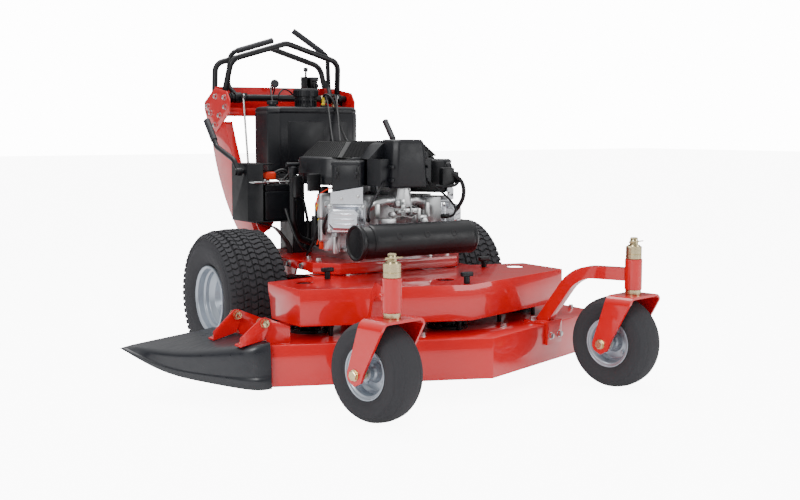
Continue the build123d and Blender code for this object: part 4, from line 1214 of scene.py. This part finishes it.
def fan_screen():
    """Rotating debris screen: upright bars between hoops, a slotted top and the flywheel below."""
    sizes = bpy.context.scene.mower_sizes
    at = Matrix.Translation(CRANK_FOOT)
    bm = bmesh.new()
    add_grown(bm, "ring_of_bars", at, count=sizes.screen_bars, low_radius=110.0, high_radius=95.5,
              low=641.0,
              high=739.0, bar_width=3.2, bar_depth=3.0, material=finish_of("black_steel_and_painted_shade"))
    for low, r, tall in ((640, 112, 8), (672, 107, 4), (706, 102, 4), (733, 97.5, 9)):
        slope = 16 * tall / 102
        lathe(bm, [(low, r - 5), (low, r), (low + tall, r - slope), (low + tall, r - slope - 5)],
              CRANK_FOOT, UP, 96, True)
    lathe(bm, [(646, 98), (646, 103), (735, 90), (735, 86)], CRANK_FOOT, UP, 72, True)
    for r in range(18, 92, 9):
        lathe(bm, [(737, r - 1.8), (737, r + 1.8), (741, r + 1.8), (741, r - 1.8)], CRANK_FOOT, UP,
              72, True)
    for k in range(8):
        turn = at @ Matrix.Rotation(math.tau * k / 8, 4, "Z")
        block(bm, (10, 94), (-3, 3), (735.5, 741.5), 1, turn)
    lathe(bm, [(640, 0.1), (640, 106), (646, 106), (650, 60), (664, 50), (664, 0.1)], CRANK_FOOT, UP, 72)
    piece("fan_screen", bm, "crank_assembly", "black_steel_and_painted_shade")


def crankshaft():
    """Crankshaft, clutch and pulleys below the engine, with the flywheel above."""
    bm = bmesh.new()
    lathe(bm, [(205, 0.1), (205, 18), (208, 20), (638, 20), (640, 0.1)], CRANK_FOOT, UP, 40)
    for z, r in ((238, 70), (281, 58)):
        soft_ring(bm, [(z - 10, 20), (z - 10, r + 10), (z - 6, r + 10), (z - 3, r), (z + 3, r),
                       (z + 6, r + 10), (z + 10, r + 10), (z + 10, 20)], 1, CRANK_FOOT, UP, 72)
    soft_ring(bm, [(210, 20), (210, 72), (227, 72), (227, 20)], 3, CRANK_FOOT, UP, 72)
    soft_ring(bm, [(612, 20), (612, 112), (639, 112), (639, 20)], 2, CRANK_FOOT, UP, 96)
    piece("crank_and_clutch", bm, "crank_assembly", "mill_steel", ("crank_assembly",))


def air_cleaner():
    """Air cleaner tower with soft corners, its wings and the swept duct to the fan inlet."""
    bm = bmesh.new()
    levels = [(600, 132, 112, 12), (606, 136, 118, 14), (690, 128, 112, 15), (738, 121, 106, 16),
              (748, 115, 100, 16), (752, 104, 90, 15)]
    rings = []
    for z, w, d, cut in levels:
        rings.append([p + Vector((2, 629, z)) for p in rounded([(*q, 0) for q in octagon(w, d, cut)], 12,
                                                               3, True)])
    ease(bm, skin(bm, rings), 0.6, 1, 50)
    wing = [(-96, 602), (96, 602), (124, 640), (98, 686), (-98, 686), (-124, 640)]
    prism(bm, wing, "Z", (604, 690), 4)
    sweep = rounded([(-118, 690, 0), (-66, 738, 0), (-40, 746, 0), (-40, 692, 0)], 26, 6)
    prism(bm, [(p.x, p.y) for p in sweep], "Y", (640, 712), 3)
    block(bm, (-64, 66), (642, 700), (688, 738), 7, segments=3)
    block(bm, (66, 84), (596, 660), (690, 712), 4)
    block(bm, (70, 98), (640, 690), (600, 688), 6)
    for z in (618, 660):
        block(bm, (-72, -62), (574, 596), (z, z + 10), 2)
        block(bm, (64, 74), (574, 596), (z, z + 10), 2)
    piece("air_cleaner_moulding", bm, "air_cleaner_cover", "nylon_moulding", ("air_cleaner_cover",))


def rocker_cover(bm, side):
    """Pressed cover: bolted rim, octagonal dome in steps and three plain ribs."""
    turn = BANK[side] @ Matrix.Translation((side * CYLINDER_OFFSET, 0, 0))
    block(bm, (-62, 62), (-254, -246), (458, 546), 2, turn)
    rings = []
    for y, w, h, cut in ((-253, 112, 78, 10), (-259, 110, 76, 10), (-262, 104, 70, 12), (-290, 98, 62, 14),
                         (-296, 90, 54, 14)):
        rings.append([turn @ Vector((x, y, z + COVER_Z)) for x, z in octagon(w, h, cut)])
    ease(bm, skin(bm, rings), 1.2, 2, 25)
    for z in (COVER_Z - 16, COVER_Z, COVER_Z + 16):
        block(bm, (-36, 36), (-297.5, -290), (z - 3, z + 3), 1.2, turn)


def engine_castings():
    """Rocker covers, heat shields, intake elbows and carburettor."""
    bm = bmesh.new()
    spots = []
    for side in (1, -1):
        rocker_cover(bm, side)
        turn = BANK[side]
        out = turn.to_3x3() @ Vector((0, -1, 0))
        for x in (side * CYLINDER_OFFSET - 56, side * CYLINDER_OFFSET + 56):
            spots += [(turn @ Vector((x, -254, z)), out, 10) for z in (464, 540)]
        # Bright heat shield between the cowl and the rocker cover, its top edge sloping.
        shield = [(side * 66, 550), (side * 66, 586), (-side * 40, 604), (-side * 40, 550)]
        prism(bm, shield, "Y", (-270, -267), 0.6, turn)
        prism(bm, [(side * 66, 550), (side * 66, 553), (-side * 40, 553), (-side * 40, 550)], "Y",
              (-268, -247),
              0.6, turn)
        spots += [(turn @ Vector((-side * x, -270, z)), out, 8) for x, z in ((-30, 566), (24, 574))]
    piece("rocker_covers_bright", bm, "rocker_covers", "bright_aluminium", ("rocker_covers",), 25)
    bolts("rocker_bolts", "rocker_covers", "bright_zinc", spots)
    bm = bmesh.new()
    for side in (1, -1):
        pipe(bm, [(side * 18, 640, 552), (side * 60, 636, 556), (side * 92, 648, 545),
                  (side * 106, 668, 532)], 14,
             22, 20)
        lathe(bm, [(0, 13), (0, 18), (5, 18), (5, 13)], (side * 30, 640, 554), (side, 0, 0), 24, True)
    block(bm, (-26, 26), (612, 668), (532, 599), 5, segments=3)
    block(bm, (-34, -12), (606, 614), (538, 556), 2)
    lathe(bm, [(0, 0.1), (0, 12), (3, 18), (20, 20), (24, 20)], (0, 640, 508), UP, 32)
    lathe(bm, [(0, 0.1), (0, 22), (5, 22), (5, 0.1)], (0, 640, 530), UP, 32)
    piece("carburettor_castings", bm, "intake_manifold", "cast_aluminium", ("intake_manifold",))


def linkage():
    """Governor arm, links, springs and small brackets behind the muffler."""
    bm = bmesh.new()
    block(bm, (-20, -4), (600, 604), (496, 560), 1)
    block(bm, (-38, 48), (596, 600), (516, 530), 1)
    block(bm, (40, 52), (594, 606), (486, 530), 1.5)
    pipe(bm, [(-70, 604, 536), (-30, 598, 528), (20, 596, 540), (66, 604, 520)], 1.6, 12, 8)
    pipe(bm, [(-52, 602, 500), (-20, 592, 508), (14, 594, 500), (50, 600, 514)], 1.6, 12, 8)
    pipe(bm, [(8, 600, 596), (10, 592, 560), (16, 594, 512)], 2.2, 12, 8)
    for start, along, length in (((-46, 598, 524), (1, 0, 0.1), 34), ((14, 596, 520), (1, 0, -0.2), 28)):
        helix(bm, start, along, 4.2, 0.9, 9, length)
    for x, z in ((-32, 523), (-6, 523), (22, 523), (44, 500), (-12, 548)):
        hexagon(bm, (x, 596, z), (0, -1, 0), 8, 5)
    for side in (1, -1):
        block(bm, (side * 96 - 8, side * 96 + 8), (620, 626), (500, 546), 1)
    piece("governor_linkage", bm, "intake_manifold", "bright_zinc")
    bm = bmesh.new()
    block(bm, (-84, -30), (612, 640), (470, 500), 4)
    block(bm, (34, 92), (616, 648), (466, 506), 4)
    rod(bm, (66, 610, 486), (66, 590, 486), 13, 24, 2)
    rod(bm, (-52, 616, 512), (-52, 596, 512), 9, 20, 1.5)
    piece("fuel_pump_and_governor", bm, "intake_manifold", "cast_aluminium")


def ignition():
    """Spark plug boots and leads, black hoses with their clips, and the coloured wires."""
    bm = bmesh.new()
    for side in (1, -1):
        turn = BANK[side]
        plug = turn @ Vector((-52 * side, -250, 500))
        out = turn.to_3x3() @ Vector((-0.25 * side, -1, 0))
        rod(bm, plug, plug + out * 26, 7.5, 16, 1.5)
        tip = plug + out * 24
        far = turn @ Vector((-84 * side, -180, 640))
        cable(bm, [tip, tip + out * 22, tip + out * 30 + Vector((0, 0, 40)), far + Vector((0, -30, -10)),
                   far], 3.6)
    cable(bm, [(150, 596, 648), (186, 572, 632), (206, 566, 590), (204, 580, 540), (186, 600, 512)], 7)
    cable(bm, [(112, 596, 600), (150, 574, 598), (176, 566, 604), (196, 584, 620)], 5)
    block(bm, (128, 176), (580, 604), (596, 660), 5)
    block(bm, (166, 196), (584, 606), (608, 646), 4)
    cable(bm, [(-178, 700, 560), (-214, 690, 540), (-236, 716, 500), (-232, 740, 450), (-206, 752, 418)], 5)
    cable(bm, [(-150, 850, 520), (-190, 812, 512), (-226, 790, 470), (-238, 800, 400), (-244, 830, 371)], 4)
    cable(bm, [(-200, 900, 372), (-230, 870, 384), (-262, 884, 430), (-268, 930, 520)], 5)
    block(bm, (-262, -236), (868, 896), (560, 632), 3)
    block(bm, (-272, -230), (752, 772), (586, 642), 3)
    piece("leads_and_hoses", bm, "engine_block", "hose_rubber")
    bm = bmesh.new()
    cable(bm, [(-196, 742, 596), (-236, 734, 588), (-254, 744, 556), (-244, 752, 520), (-230, 760, 500)],
          2.4)
    cable(bm, [(-214, 756, 500), (-232, 768, 470), (-222, 776, 440), (-226, 790, 410)], 2.2)
    block(bm, (-232, -220), (754, 766), (398, 422), 2)
    piece("red_wires", bm, "engine_block", "terminal_vinyl")
    bm = bmesh.new()
    cable(bm, [(-206, 744, 560), (-248, 742, 548), (-252, 752, 530), (-226, 756, 512), (-232, 770, 490)],
          2.2)
    piece("yellow_wires", bm, "engine_block", "yellow_vinyl")


def starter_side():
    """Starter, solenoid, oil filter, filler tube and the small castings on the right side."""
    bm = bmesh.new()
    lathe(bm, [(395, 0.1), (395, 24), (399, 30), (541, 30), (545, 26), (545, 17), (594, 17), (596, 0.1)],
          (-166, 852, 0), UP, 40)
    lathe(bm, [(405, 30), (405, 31.5), (412, 31.5), (412, 30)], (-166, 852, 0), UP, 40, True)
    rod(bm, (-205, 838, 420), (-205, 838, 500), 13, 24, 2)
    block(bm, (-140, -120), (836, 868), (500, 530), 3)
    piece("starter_can", bm, "starter_motor", "black_satin_enamel", ("starter_motor",))
    bm = bmesh.new()
    lathe(bm, [(0, 0.1), (0, 27), (5, 33), (8, 34), (66, 34), (70, 32), (76, 33), (82, 30), (83, 18),
               (95, 18), (95, 0.1)],
          (-215, 768, 424), ACROSS, 48)
    piece("oil_filter_can", bm, "oil_filter", "filter_enamel", ("oil_filter",))
    bm = bmesh.new()
    block(bm, (-196, -124), (716, 750), (452, 500), 7, segments=3)
    block(bm, (-212, -150), (700, 728), (500, 556), 7, segments=3)
    block(bm, (-188, -120), (756, 806), (476, 560), 8, segments=3)
    block(bm, (-160, -118), (730, 830), (386, 398), 3)
    rod(bm, (-196, 722, 440), (-196, 722, 384), 9, 18, 1.5)
    rod(bm, (-178, 744, 470), (-178, 744, 386), 12, 18, 2)
    block(bm, (-246, -206), (728, 756), (498, 580), 7, segments=3)
    block(bm, (-240, -200), (736, 760), (424, 496), 5, segments=3)
    rod(bm, (-224, 726, 546), (-224, 716, 546), 11, 24, 2)
    block(bm, (-214, -150), (744, 752), (520, 560), 3)
    for x, y, z in ((-198, 702, 540), (-166, 700, 512), (-200, 716, 470)):
        hexagon(bm, (x, y, z), (-0.7, -0.7, 0), 11, 6)
    piece("side_castings", bm, "engine_block", "cast_aluminium")
    x, y = -252, 908
    bm = bmesh.new()
    pipe(bm, [(-121, 936, 410), (-172, 934, 402), (-226, 922, 422), (x, y, 482), (x, y, 638)], 10.8, 50, 20)
    for low, high, r in ((600, 606, 13.5), (628, 640, 14)):
        lathe(bm, [(low, 11), (low, r), (high, r), (high, 11)], (x, y, 0), UP, 28, True)
    piece("dipstick_hose", bm, "dipstick_tube", "hose_rubber", ("dipstick_tube",))
    bm = bmesh.new()
    lathe(bm, [(640.4, 0.1), (640.4, 14), (644, 15), (658, 15), (662, 12), (662, 0.1)], (x, y, 0), UP, 28)
    rod(bm, (x - 24, y, 668), (x + 24, y, 668), 7, 18, 2)
    block(bm, (x - 6, x + 6), (y - 6, y + 6), (658, 668), 1.5)
    rod(bm, (x, y, 502), (x, y, 642), 3.8, 12)
    piece("dipstick_handle", bm, "dipstick", "nylon_moulding", ("dipstick",))


def muffler():
    """Canister with crimped ends, flared tail ring, pressed guard and both exhaust pipes."""
    y, z = MUFFLER[1:]
    bm = bmesh.new()
    lathe(bm, [(-240, 0.1), (-240, 36), (-236, 45), (-228, 50), (168, 50), (172, 51.5), (176, 51.5),
               (180, 49),
               (187, 42), (190, 34), (190, 0.1)], MUFFLER, ACROSS, 72)
    ring = [(-252, 50), (-251, 55), (-247, 56), (-238, 55), (-232, 51), (-236, 47), (-246, 46), (-250, 48)]
    soft_ring(bm, ring, 1.5, MUFFLER, ACROSS, 72)
    lathe(bm, [(-243, 0.1), (-243, 20), (-245, 36), (-246, 46), (-238, 48), (-236, 30), (-236, 0.1)],
          MUFFLER,
          ACROSS, 72)
    for side in (-1, 1):
        pipe(bm, [(side * 150, 668, 471), (side * 150, 660, 412), (side * 150, 540, 420)], 15, 34, 24)
        pipe(bm, [(side * 152, 650, 470), (side * 168, 626, 424), (side * 150, 560, 404)], 11, 30, 20)
        block(bm, (side * 90 - 14, side * 90 + 14), (540, 600), (470, 474), 1)
    piece("muffler_can", bm, "muffler", "black_satin_enamel", ("muffler",))
    bm = bmesh.new()
    across = [math.radians(a) for a in range(94, 213, 7)]
    rings = []
    for x, pull in ((-206, 2.5), (-203, 0.6), (-198, 0), (158, 0), (163, 0.6), (166, 2.5)):
        outer = [Vector((x, y + (56 - pull) * math.cos(a), z + (56 - pull) * math.sin(a))) for a in across]
        inner = [Vector((x, y + 52 * math.cos(a), z + 52 * math.sin(a))) for a in reversed(across)]
        rings.append(outer + inner)
    skin(bm, rings)
    for x in (-120, -18, 84):
        a = math.radians(158)
        out = Vector((0, math.cos(a), math.sin(a)))
        middle = Vector((x, y, z)) + out * 55.2
        soft_ring(bm, [(0, 7), (0, 12), (1.6, 12), (1.6, 7)], 0.7, middle, out, 24)
    piece("muffler_guard", bm, "muffler", "black_satin_enamel")


class MOWER_OT_engine(bpy.types.Operator):
    """Build the engine: shroud, screen, air cleaner, castings, leads and muffler"""
    bl_idname = "mower.engine"
    bl_label = "Engine"

    def execute(self, context):
        blower_housing()
        fan_screen()
        crankshaft()
        air_cleaner()
        engine_castings()
        linkage()
        ignition()
        starter_side()
        muffler()
        return {"FINISHED"}


# ---------------------------------------------------------------- tank and battery

def tank_ring(z, inset):
    """Outline of the tank with cut and rounded corners, drawn in by an inset."""
    w = 2 * (TANK_X - inset)
    d = TANK_Y[1] - TANK_Y[0] - 2 * inset
    middle = Vector((0, sum(TANK_Y) / 2, z))
    return [p + middle for p in rounded([(*q, 0) for q in octagon(w, d, 34)], 10, 4, True)]


def fuel_tank():
    """Rotomoulded tank: waisted top ledge, soft edges, pressed panels, neck and vent."""
    bm = bmesh.new()
    low, high = TANK_Z
    levels = [(low, 14), (low + 5, 5), (low + 14, 0.5), (high - 26, 0.5), (high - 23, 3), (high - 20, 1),
              (high - 12, 1), (high - 5, 4), (high - 1, 10), (high, 18)]
    skin(bm, [tank_ring(z, inset) for z, inset in levels])
    for x in ((-118, 28), (52, 128)):
        block(bm, x, (1197.6, 1203), (668, 812), 2.4, segments=3)
    for x in (-70, 70):
        block(bm, (x - 40, x + 40), (1368, 1372), (668, 812), 2, segments=3)
    lathe(bm, [(862, 0.1), (862, 46), (866, 40), (870, 38), (884, 38), (886, 40), (894, 40), (896, 38),
               (901, 38),
               (926, 37), (926, 0.1)], (CAP.x, CAP.y, 0), UP, 56)
    add_grown(bm, "ring_of_bars", Matrix.Translation((CAP.x, CAP.y, 0)), count=24, low_radius=39.0,
              high_radius=39.0,
              low=868.0, high=898.0, bar_width=3.5, bar_depth=3.0, material=finish_of("rotomoulded_tank"))
    lathe(bm, [(864, 0.1), (864, 24), (868, 21), (870, 14), (872, 14), (873, 21), (884, 21), (887, 18),
               (887, 0.1)],
          (-139, 1282, 0), UP, 32)
    piece("tank_moulding", bm, "fuel_tank", "rotomoulded_tank", ("fuel_tank",), 45)
    bm = bmesh.new()
    lathe(bm, [(864, 7), (878, 7), (880, 5), (900, 5), (900, 2)], (58, 1262, 0), UP, 20)
    piece("tank_outlet", bm, "fuel_tank", "yellow_vinyl")
    bm = bmesh.new()
    rod(bm, (58, 1262, 864), (58, 1262, 872), 11, 24, 1)
    cable(bm, [(58, 1262, 898), (58, 1256, 914), (70, 1226, 906), (78, 1196, 860), (76, 1160, 780),
               (70, 1080, 720),
               (60, 1010, 700)], 4.2)
    cable(bm, [(-139, 1282, 884), (-130, 1320, 930), (-80, 1400, 960), (-60, 1440, 930)], 3)
    piece("tank_hoses", bm, "fuel_tank", "hose_rubber")


def fuel_cap():
    """Vented cap with a ribbed skirt and a raised dome."""
    bm = bmesh.new()
    soft_ring(bm, [(902, 39), (902, 45), (924, 45), (930, 41), (932, 30), (932, 0.3), (927, 0.3),
                   (927, 39)], 1.5, (CAP.x, CAP.y, 0), UP, 64)
    add_grown(bm, "ring_of_bars", Matrix.Translation((CAP.x, CAP.y, 0)), count=30, low_radius=45.2,
              high_radius=44.6,
              low=903.0, high=924.0, bar_width=4.2, bar_depth=3.2, material=finish_of("nylon_moulding"))
    piece("cap_moulding", bm, "fuel_cap", "nylon_moulding", ("fuel_cap",), 45)


def battery():
    """Battery case with its lid step and terminals, rod clamp, boot and cable."""
    bm = bmesh.new()
    block(bm, (-296, -178), (1026, 1182), (474, 574), 4, segments=3)
    block(bm, (-294, -180), (1028, 1180), (574, 596), 3, segments=3)
    for y in (1060, 1104, 1148):
        rod(bm, (-237, y, 596), (-237, y, 600), 11, 20, 1)
    piece("battery_case", bm, "battery", "nylon_moulding", ("battery",))
    bm = bmesh.new()
    for x in (-275, -200):
        rod(bm, (x, 1050, 596), (x, 1050, 612), 8, 16, 1)
    rod(bm, (-338, 1022, 606), (-160, 1022, 606), 3.4, 14, 0.6)
    rod(bm, (-338, 1186, 606), (-338, 1022, 606), 3.4, 14, 0.6)
    for x in (-300, -174):
        hexagon(bm, (x, 1022, 609), UP, 11, 7)
    block(bm, (-180, -152), (1012, 1020), (600, 622), 1.2)
    block(bm, (-232, -190), (1034, 1052), (612, 616), 1)
    piece("battery_clamp", bm, "battery", "bright_zinc")
    bm = bmesh.new()
    block(bm, (-292, -248), (1036, 1066), (612, 640), 7, segments=3)
    block(bm, (-312, -284), (1040, 1062), (618, 638), 6, segments=3)
    piece("terminal_boot", bm, "battery", "terminal_vinyl")
    bm = bmesh.new()
    cable(bm, [(-254, 1046, 634), (-232, 1036, 648), (-208, 1034, 640), (-196, 1040, 618)], 6)
    cable(bm, [(-222, 1034, 614), (-206, 1026, 636), (-188, 1024, 640), (-172, 1030, 612),
               (-164, 1044, 560)], 5)
    cable(bm, [(-162, 1004, 540), (-150, 990, 470), (-160, 980, 400), (-190, 960, 372)], 5)
    piece("battery_cables", bm, "battery", "hose_rubber")


def tyre_strap():
    """Curved black strap and small red bracket between the battery and the tyre."""
    bm = bmesh.new()
    path = rounded([(-330, 1006, 470), (-262, 1002, 452), (-214, 998, 392), (-208, 996, 330)], 60, 8)
    rings = []
    for k, p in enumerate(path):
        ahead = heading(path, k)
        out = ahead.cross(Vector((0, 1, 0))).normalized() * 1.6
        rings.append([p + out, p + out + Vector((0, 34, 0)), p - out + Vector((0, 34, 0)), p - out])
    skin(bm, rings)
    piece("tyre_strap", bm, "rear_frame", "black_satin_enamel")
    bm = bmesh.new()
    prism(bm, [(-330, 470), (-262, 470), (-276, 446), (-300, 434), (-316, 440)], "Y", (1030, 1034), 0.8)
    piece("strap_bracket", bm, "engine_frame", "red_powder_coat")


class MOWER_OT_tank_and_battery(bpy.types.Operator):
    """Build the fuel tank, its cap and hoses, and the battery with its clamp and cables"""
    bl_idname = "mower.tank_and_battery"
    bl_label = "Tank and battery"

    def execute(self, context):
        fuel_tank()
        fuel_cap()
        battery()
        tyre_strap()
        return {"FINISHED"}


# ---------------------------------------------------------------- controls

def sleeve(bm, start, end, r, hole):
    """Grip: a closed tube with rounded ends."""
    span = Vector(end) - Vector(start)
    length, e = span.length, 1.5
    profile = [(0, hole), (0, r - e), (e, r), (length - e, r), (length, r - e), (length, hole)]
    lathe(bm, profile, start, span, 28, True)


def reference_bars():
    """Cross tube with its collars and the two bent reference bars with their lugs."""
    bm = bmesh.new()
    rod(bm, (-257.5, 1450, 900), (257.5, 1450, 900), 13, 32, 0.8)
    for side in (1, -1):
        for a, b, r in ((222, 228, 19), (172, 177, 18), (232, 236, 17)):
            soft_ring(bm, [(a, 13.2), (a, r), (b, r), (b, 13.2)], 0.8, BAR_PIVOT, (side, 0, 0), 32)
    for y0, y1, y2, foot, bend, top in ((1482, 1446, 1440, 905, 1040, 1105),
                                        (1566, 1592, 1580, 910, 1030, 1095)):
        route = [(-240, y0, foot), (-224, y1, bend), (0, y2, top), (224, y1, bend), (240, y0, foot)]
        pipe(bm, route, 11, 46, 20)
        for side in (-1, 1):
            block(bm, sorted((side * 234, side * 257.5)), (y0 - 11, y0 + 11), (foot - 30, foot + 4), 2.5)
    piece("reference_bars", bm, "handle_bars", "black_satin_enamel", ("handle_bars",))


def drive_lever(name, side, grip_end):
    """Lever on the pivot tube: bent stem, hub with its screw, rod arm and grip."""
    x = side * 200
    bend = Vector((side * 206, 1496, 1066))
    end = Vector((side * grip_end[0], *grip_end[1:]))
    bm = bmesh.new()
    pipe(bm, [(x, 1464, 908), (side * 214, 1504, 948), bend, end - (end - bend) * 0.02], 9, 38, 20)
    soft_ring(bm, [(-14, 13.2), (-14, 20), (14, 20), (14, 13.2)], 2, (x, 1450, 900), ACROSS, 40)
    arm = [(1396, 894), (1434, 892), (1434, 912), (1396, 916), (1390, 905)]
    prism(bm, arm, "X", sorted((x - side * 14, x - side * 8)), 1)
    cover(bm, f"drive_lever_{name}", "steel", "black_satin_enamel")
    bm = bmesh.new()
    sleeve(bm, bend + (end - bend) * 0.16, bend + (end - bend) * 1.01, 11.2, 9.1)
    piece(f"drive_lever_{name}_grip", bm, f"drive_lever_{name}", "foam_grip")


def side_lever(node_name, side):
    """Outboard lever: bent flat-ended bar on a flanged hub with a tapered grip."""
    bm = bmesh.new()
    x = side * 362
    pipe(bm, [(x, 1092, 640), (side * 368, 1118, 680), (side * 370, 1258, 724), (side * 372, 1332, 810)],
         9, 34, 20)
    soft_ring(bm, [(-8, 7.2), (-8, 14), (11, 14), (11, 7.2)], 1.5, (x, 1092, 640), (side, 0, 0), 36)
    cover(bm, node_name, "steel", "black_satin_enamel")
    bm = bmesh.new()
    sleeve(bm, (side * 370.5, 1276, 745), (side * 372, 1338, 816), 12, 9.1)
    piece(node_name + "_grip", bm, node_name, "foam_grip")


def throttle():
    """Throttle paddle, switch housing on the console bracket and choke paddle."""
    bm = bmesh.new()
    soft_ring(bm, [(104, 5.1), (104, 12), (112, 12), (112, 5.1)], 1, (0, 1492, 940), ACROSS, 28)
    block(bm, (105, 111), (1488, 1496), (948, 1010), 1.2)
    block(bm, (101, 115), (1483, 1501), (1004, 1020), 4, segments=3)
    piece("throttle_paddle", bm, "throttle_lever", "foam_grip", ("throttle_lever",))
    bm = bmesh.new()
    lathe(bm, [(0, 0.1), (0, 16), (4, 16), (5, 11), (16, 11), (16, 0.1)], (137, 1478, 950), (0, -1, 0), 32)
    block(bm, (134, 140), (1456, 1464), (942, 958), 1.2)
    block(bm, (118, 156), (1474, 1512), (968, 984), 3)
    piece("switch_housing", bm, "control_bracket", "nylon_moulding")
    bm = bmesh.new()
    pipe(bm, [(-22, 1520, 905), (-22, 1500, 935), (-30, 1478, 956)], 3, 14, 12)
    soft_ring(bm, [(0, 0.3), (0, 15), (7, 17), (9, 13), (9, 0.3)], 1.5, (-32, 1480, 954),
              (-0.2, -0.8, 0.3), 32)
    piece("choke_paddle", bm, "console_panel", "foam_grip")


def cables():
    """Throttle, choke and console cables and the switch loom, each on one spline, and their ferrules."""
    bm = bmesh.new()
    for x in (0, 40):
        route = [(140 + x, 1408, 868), (140 + x, 1404, 896), (104 + x, 1340, 916), (60 + x, 1240, 902),
                 (20 + x * 0.9, 1150, 852), (-25 + x * 0.8, 1050, 768), (-48 + x * 0.7, 994, 730),
                 (-50 + x * 0.7, 988, 699)]
        cable(bm, route, 3.2)
    cable(bm, [(112, 1500, 930), (60, 1486, 900), (10, 1440, 930), (-40, 1410, 936), (-60, 1400, 900)], 3)
    cable(bm, [(150, 1500, 900), (170, 1440, 880), (196, 1380, 800), (200, 1300, 700), (196, 1210, 640)], 4)
    piece("control_cable_jackets", bm, "control_cables", "hose_rubber", ("control_cables",))
    bm = bmesh.new()
    for x in (140, 180):
        rod(bm, (x, 1410, 868), (x, 1404, 894), 5.5, 16, 1)
    for x, y, z in ((150, 1440, 905), (130, 1462, 886)):
        hexagon(bm, (x, y, z), (0, -1, 0), 12, 6)
    piece("cable_ferrules", bm, "control_cables", "yellow_zinc")


class MOWER_OT_controls(bpy.types.Operator):
    """Build the reference bars, levers, throttle and cables"""
    bl_idname = "mower.controls"
    bl_label = "Controls"

    def execute(self, context):
        reference_bars()
        drive_lever("left", 1, (75, 1530, 1160))
        drive_lever("right", -1, (30, 1500, 1118))
        side_lever("brake_lever", -1)
        side_lever("blade_lever", 1)
        throttle()
        cables()
        return {"FINISHED"}


# ---------------------------------------------------------------- stage

def soft_light(name, spot, target, size, power):
    """Square area light aimed at a point."""
    data = bpy.data.lights.new(name, "AREA")
    data.shape, data.size, data.energy = "SQUARE", size, power
    made = in_scene(name, data)
    made.location = spot
    made.rotation_euler = (Vector(target) - Vector(spot)).to_track_quat("-Z", "Y").to_euler()


def pale_floor():
    """White floor that glows where it is seen and gives off little light of its own."""
    made, tree, body, _ = shader("pale_floor", linear("F4F4F5"), roughness=0.7, specular_ior_level=0.1)
    body.inputs["Emission Color"].default_value = (1, 1, 1, 1)
    seen = node(tree, "ShaderNodeLightPath").outputs["Is Camera Ray"]
    level = node(tree, "ShaderNodeMix", {0: seen, 2: 0.25, 3: 9.0}).outputs[0]
    tree.links.new(level, body.inputs["Emission Strength"])
    return made


def studio_world():
    """White surround: it lights more from overhead than from the horizon and is seen as plain white."""
    world = bpy.data.worlds.new("studio")
    world.use_nodes = True
    tree = world.node_tree
    ray = node(tree, "ShaderNodeSeparateXYZ", {0: node(tree, "ShaderNodeTexCoord").outputs["Generated"]})
    above = node(tree, "ShaderNodeMapRange", {"Value": ray.outputs[2], "From Min": 0.1, "From Max": 0.9,
                                              "To Min": 0.12, "To Max": 1.5})
    seen = node(tree, "ShaderNodeLightPath").outputs["Is Camera Ray"]
    level = node(tree, "ShaderNodeMix", {0: seen, 2: above.outputs[0], 3: 14.0})
    paper = tree.nodes["Background"]
    paper.inputs["Color"].default_value = (1, 1, 1, 1)
    tree.links.new(level.outputs[0], paper.inputs["Strength"])
    return world


class MOWER_OT_stage(bpy.types.Operator):
    """Set the camera, the pale floor and the soft studio light"""
    bl_idname = "mower.stage"
    bl_label = "Stage"

    def execute(self, context):
        camera = bpy.data.cameras.new("camera")
        camera.lens, camera.sensor_width = 54.24, 36
        holder = in_scene("camera", camera)
        holder.location = ORIGIN + Vector((-2.0899, -2.6736, 0.7924))
        holder.rotation_euler = [math.radians(a) for a in (90 - 5.8313, 0, -32.2475)]
        context.scene.camera = holder
        floor = bpy.data.meshes.new("floor")
        reach = 30
        floor.from_pydata([(-reach, -reach, 0), (reach, -reach, 0), (reach, reach, 0), (-reach, reach, 0)],
                          [],
                          [(0, 1, 2, 3)])
        floor.materials.append(pale_floor())
        in_scene("floor", floor)
        context.scene.world = studio_world()
        middle = (0, 0, 0.5)
        soft_light("key", (-3.4, -2.4, 2.6), middle, 1.2, 95)
        soft_light("fill", (2.6, -3.4, 1.5), middle, 1.6, 45)
        soft_light("top", (0.2, 0.9, 3.4), middle, 2.0, 70)
        return {"FINISHED"}


class MOWER_PT_panel(bpy.types.Panel):
    bl_idname = "MOWER_PT_panel"
    bl_label = "Mower"
    bl_space_type = "VIEW_3D"
    bl_region_type = "UI"
    bl_category = "Mower"

    def draw(self, context):
        for settings in (context.scene.mower_sizes, context.scene.mower_colours):
            for name in settings.__annotations__:
                self.layout.prop(settings, name)
        for operator in OPERATORS:
            self.layout.operator(operator.bl_idname)


OPERATORS = (MOWER_OT_stage, MOWER_OT_sheet_metal, MOWER_OT_deck_fittings, MOWER_OT_chute, MOWER_OT_casters,
             MOWER_OT_drive_wheels, MOWER_OT_engine, MOWER_OT_tank_and_battery, MOWER_OT_controls)
CLASSES = (MowerColours, MowerSizes, *OPERATORS, MOWER_PT_panel)


def register():
    for item in CLASSES:
        bpy.utils.register_class(item)
    bpy.types.Scene.mower_colours = bpy.props.PointerProperty(type=MowerColours)
    bpy.types.Scene.mower_sizes = bpy.props.PointerProperty(type=MowerSizes)


def unregister():
    del bpy.types.Scene.mower_sizes
    del bpy.types.Scene.mower_colours
    for item in reversed(CLASSES):
        bpy.utils.unregister_class(item)


def main():
    register()
    for operator in OPERATORS:
        getattr(bpy.ops.mower, operator.bl_idname.split(".")[1])()


if __name__ == "__main__":
    main()
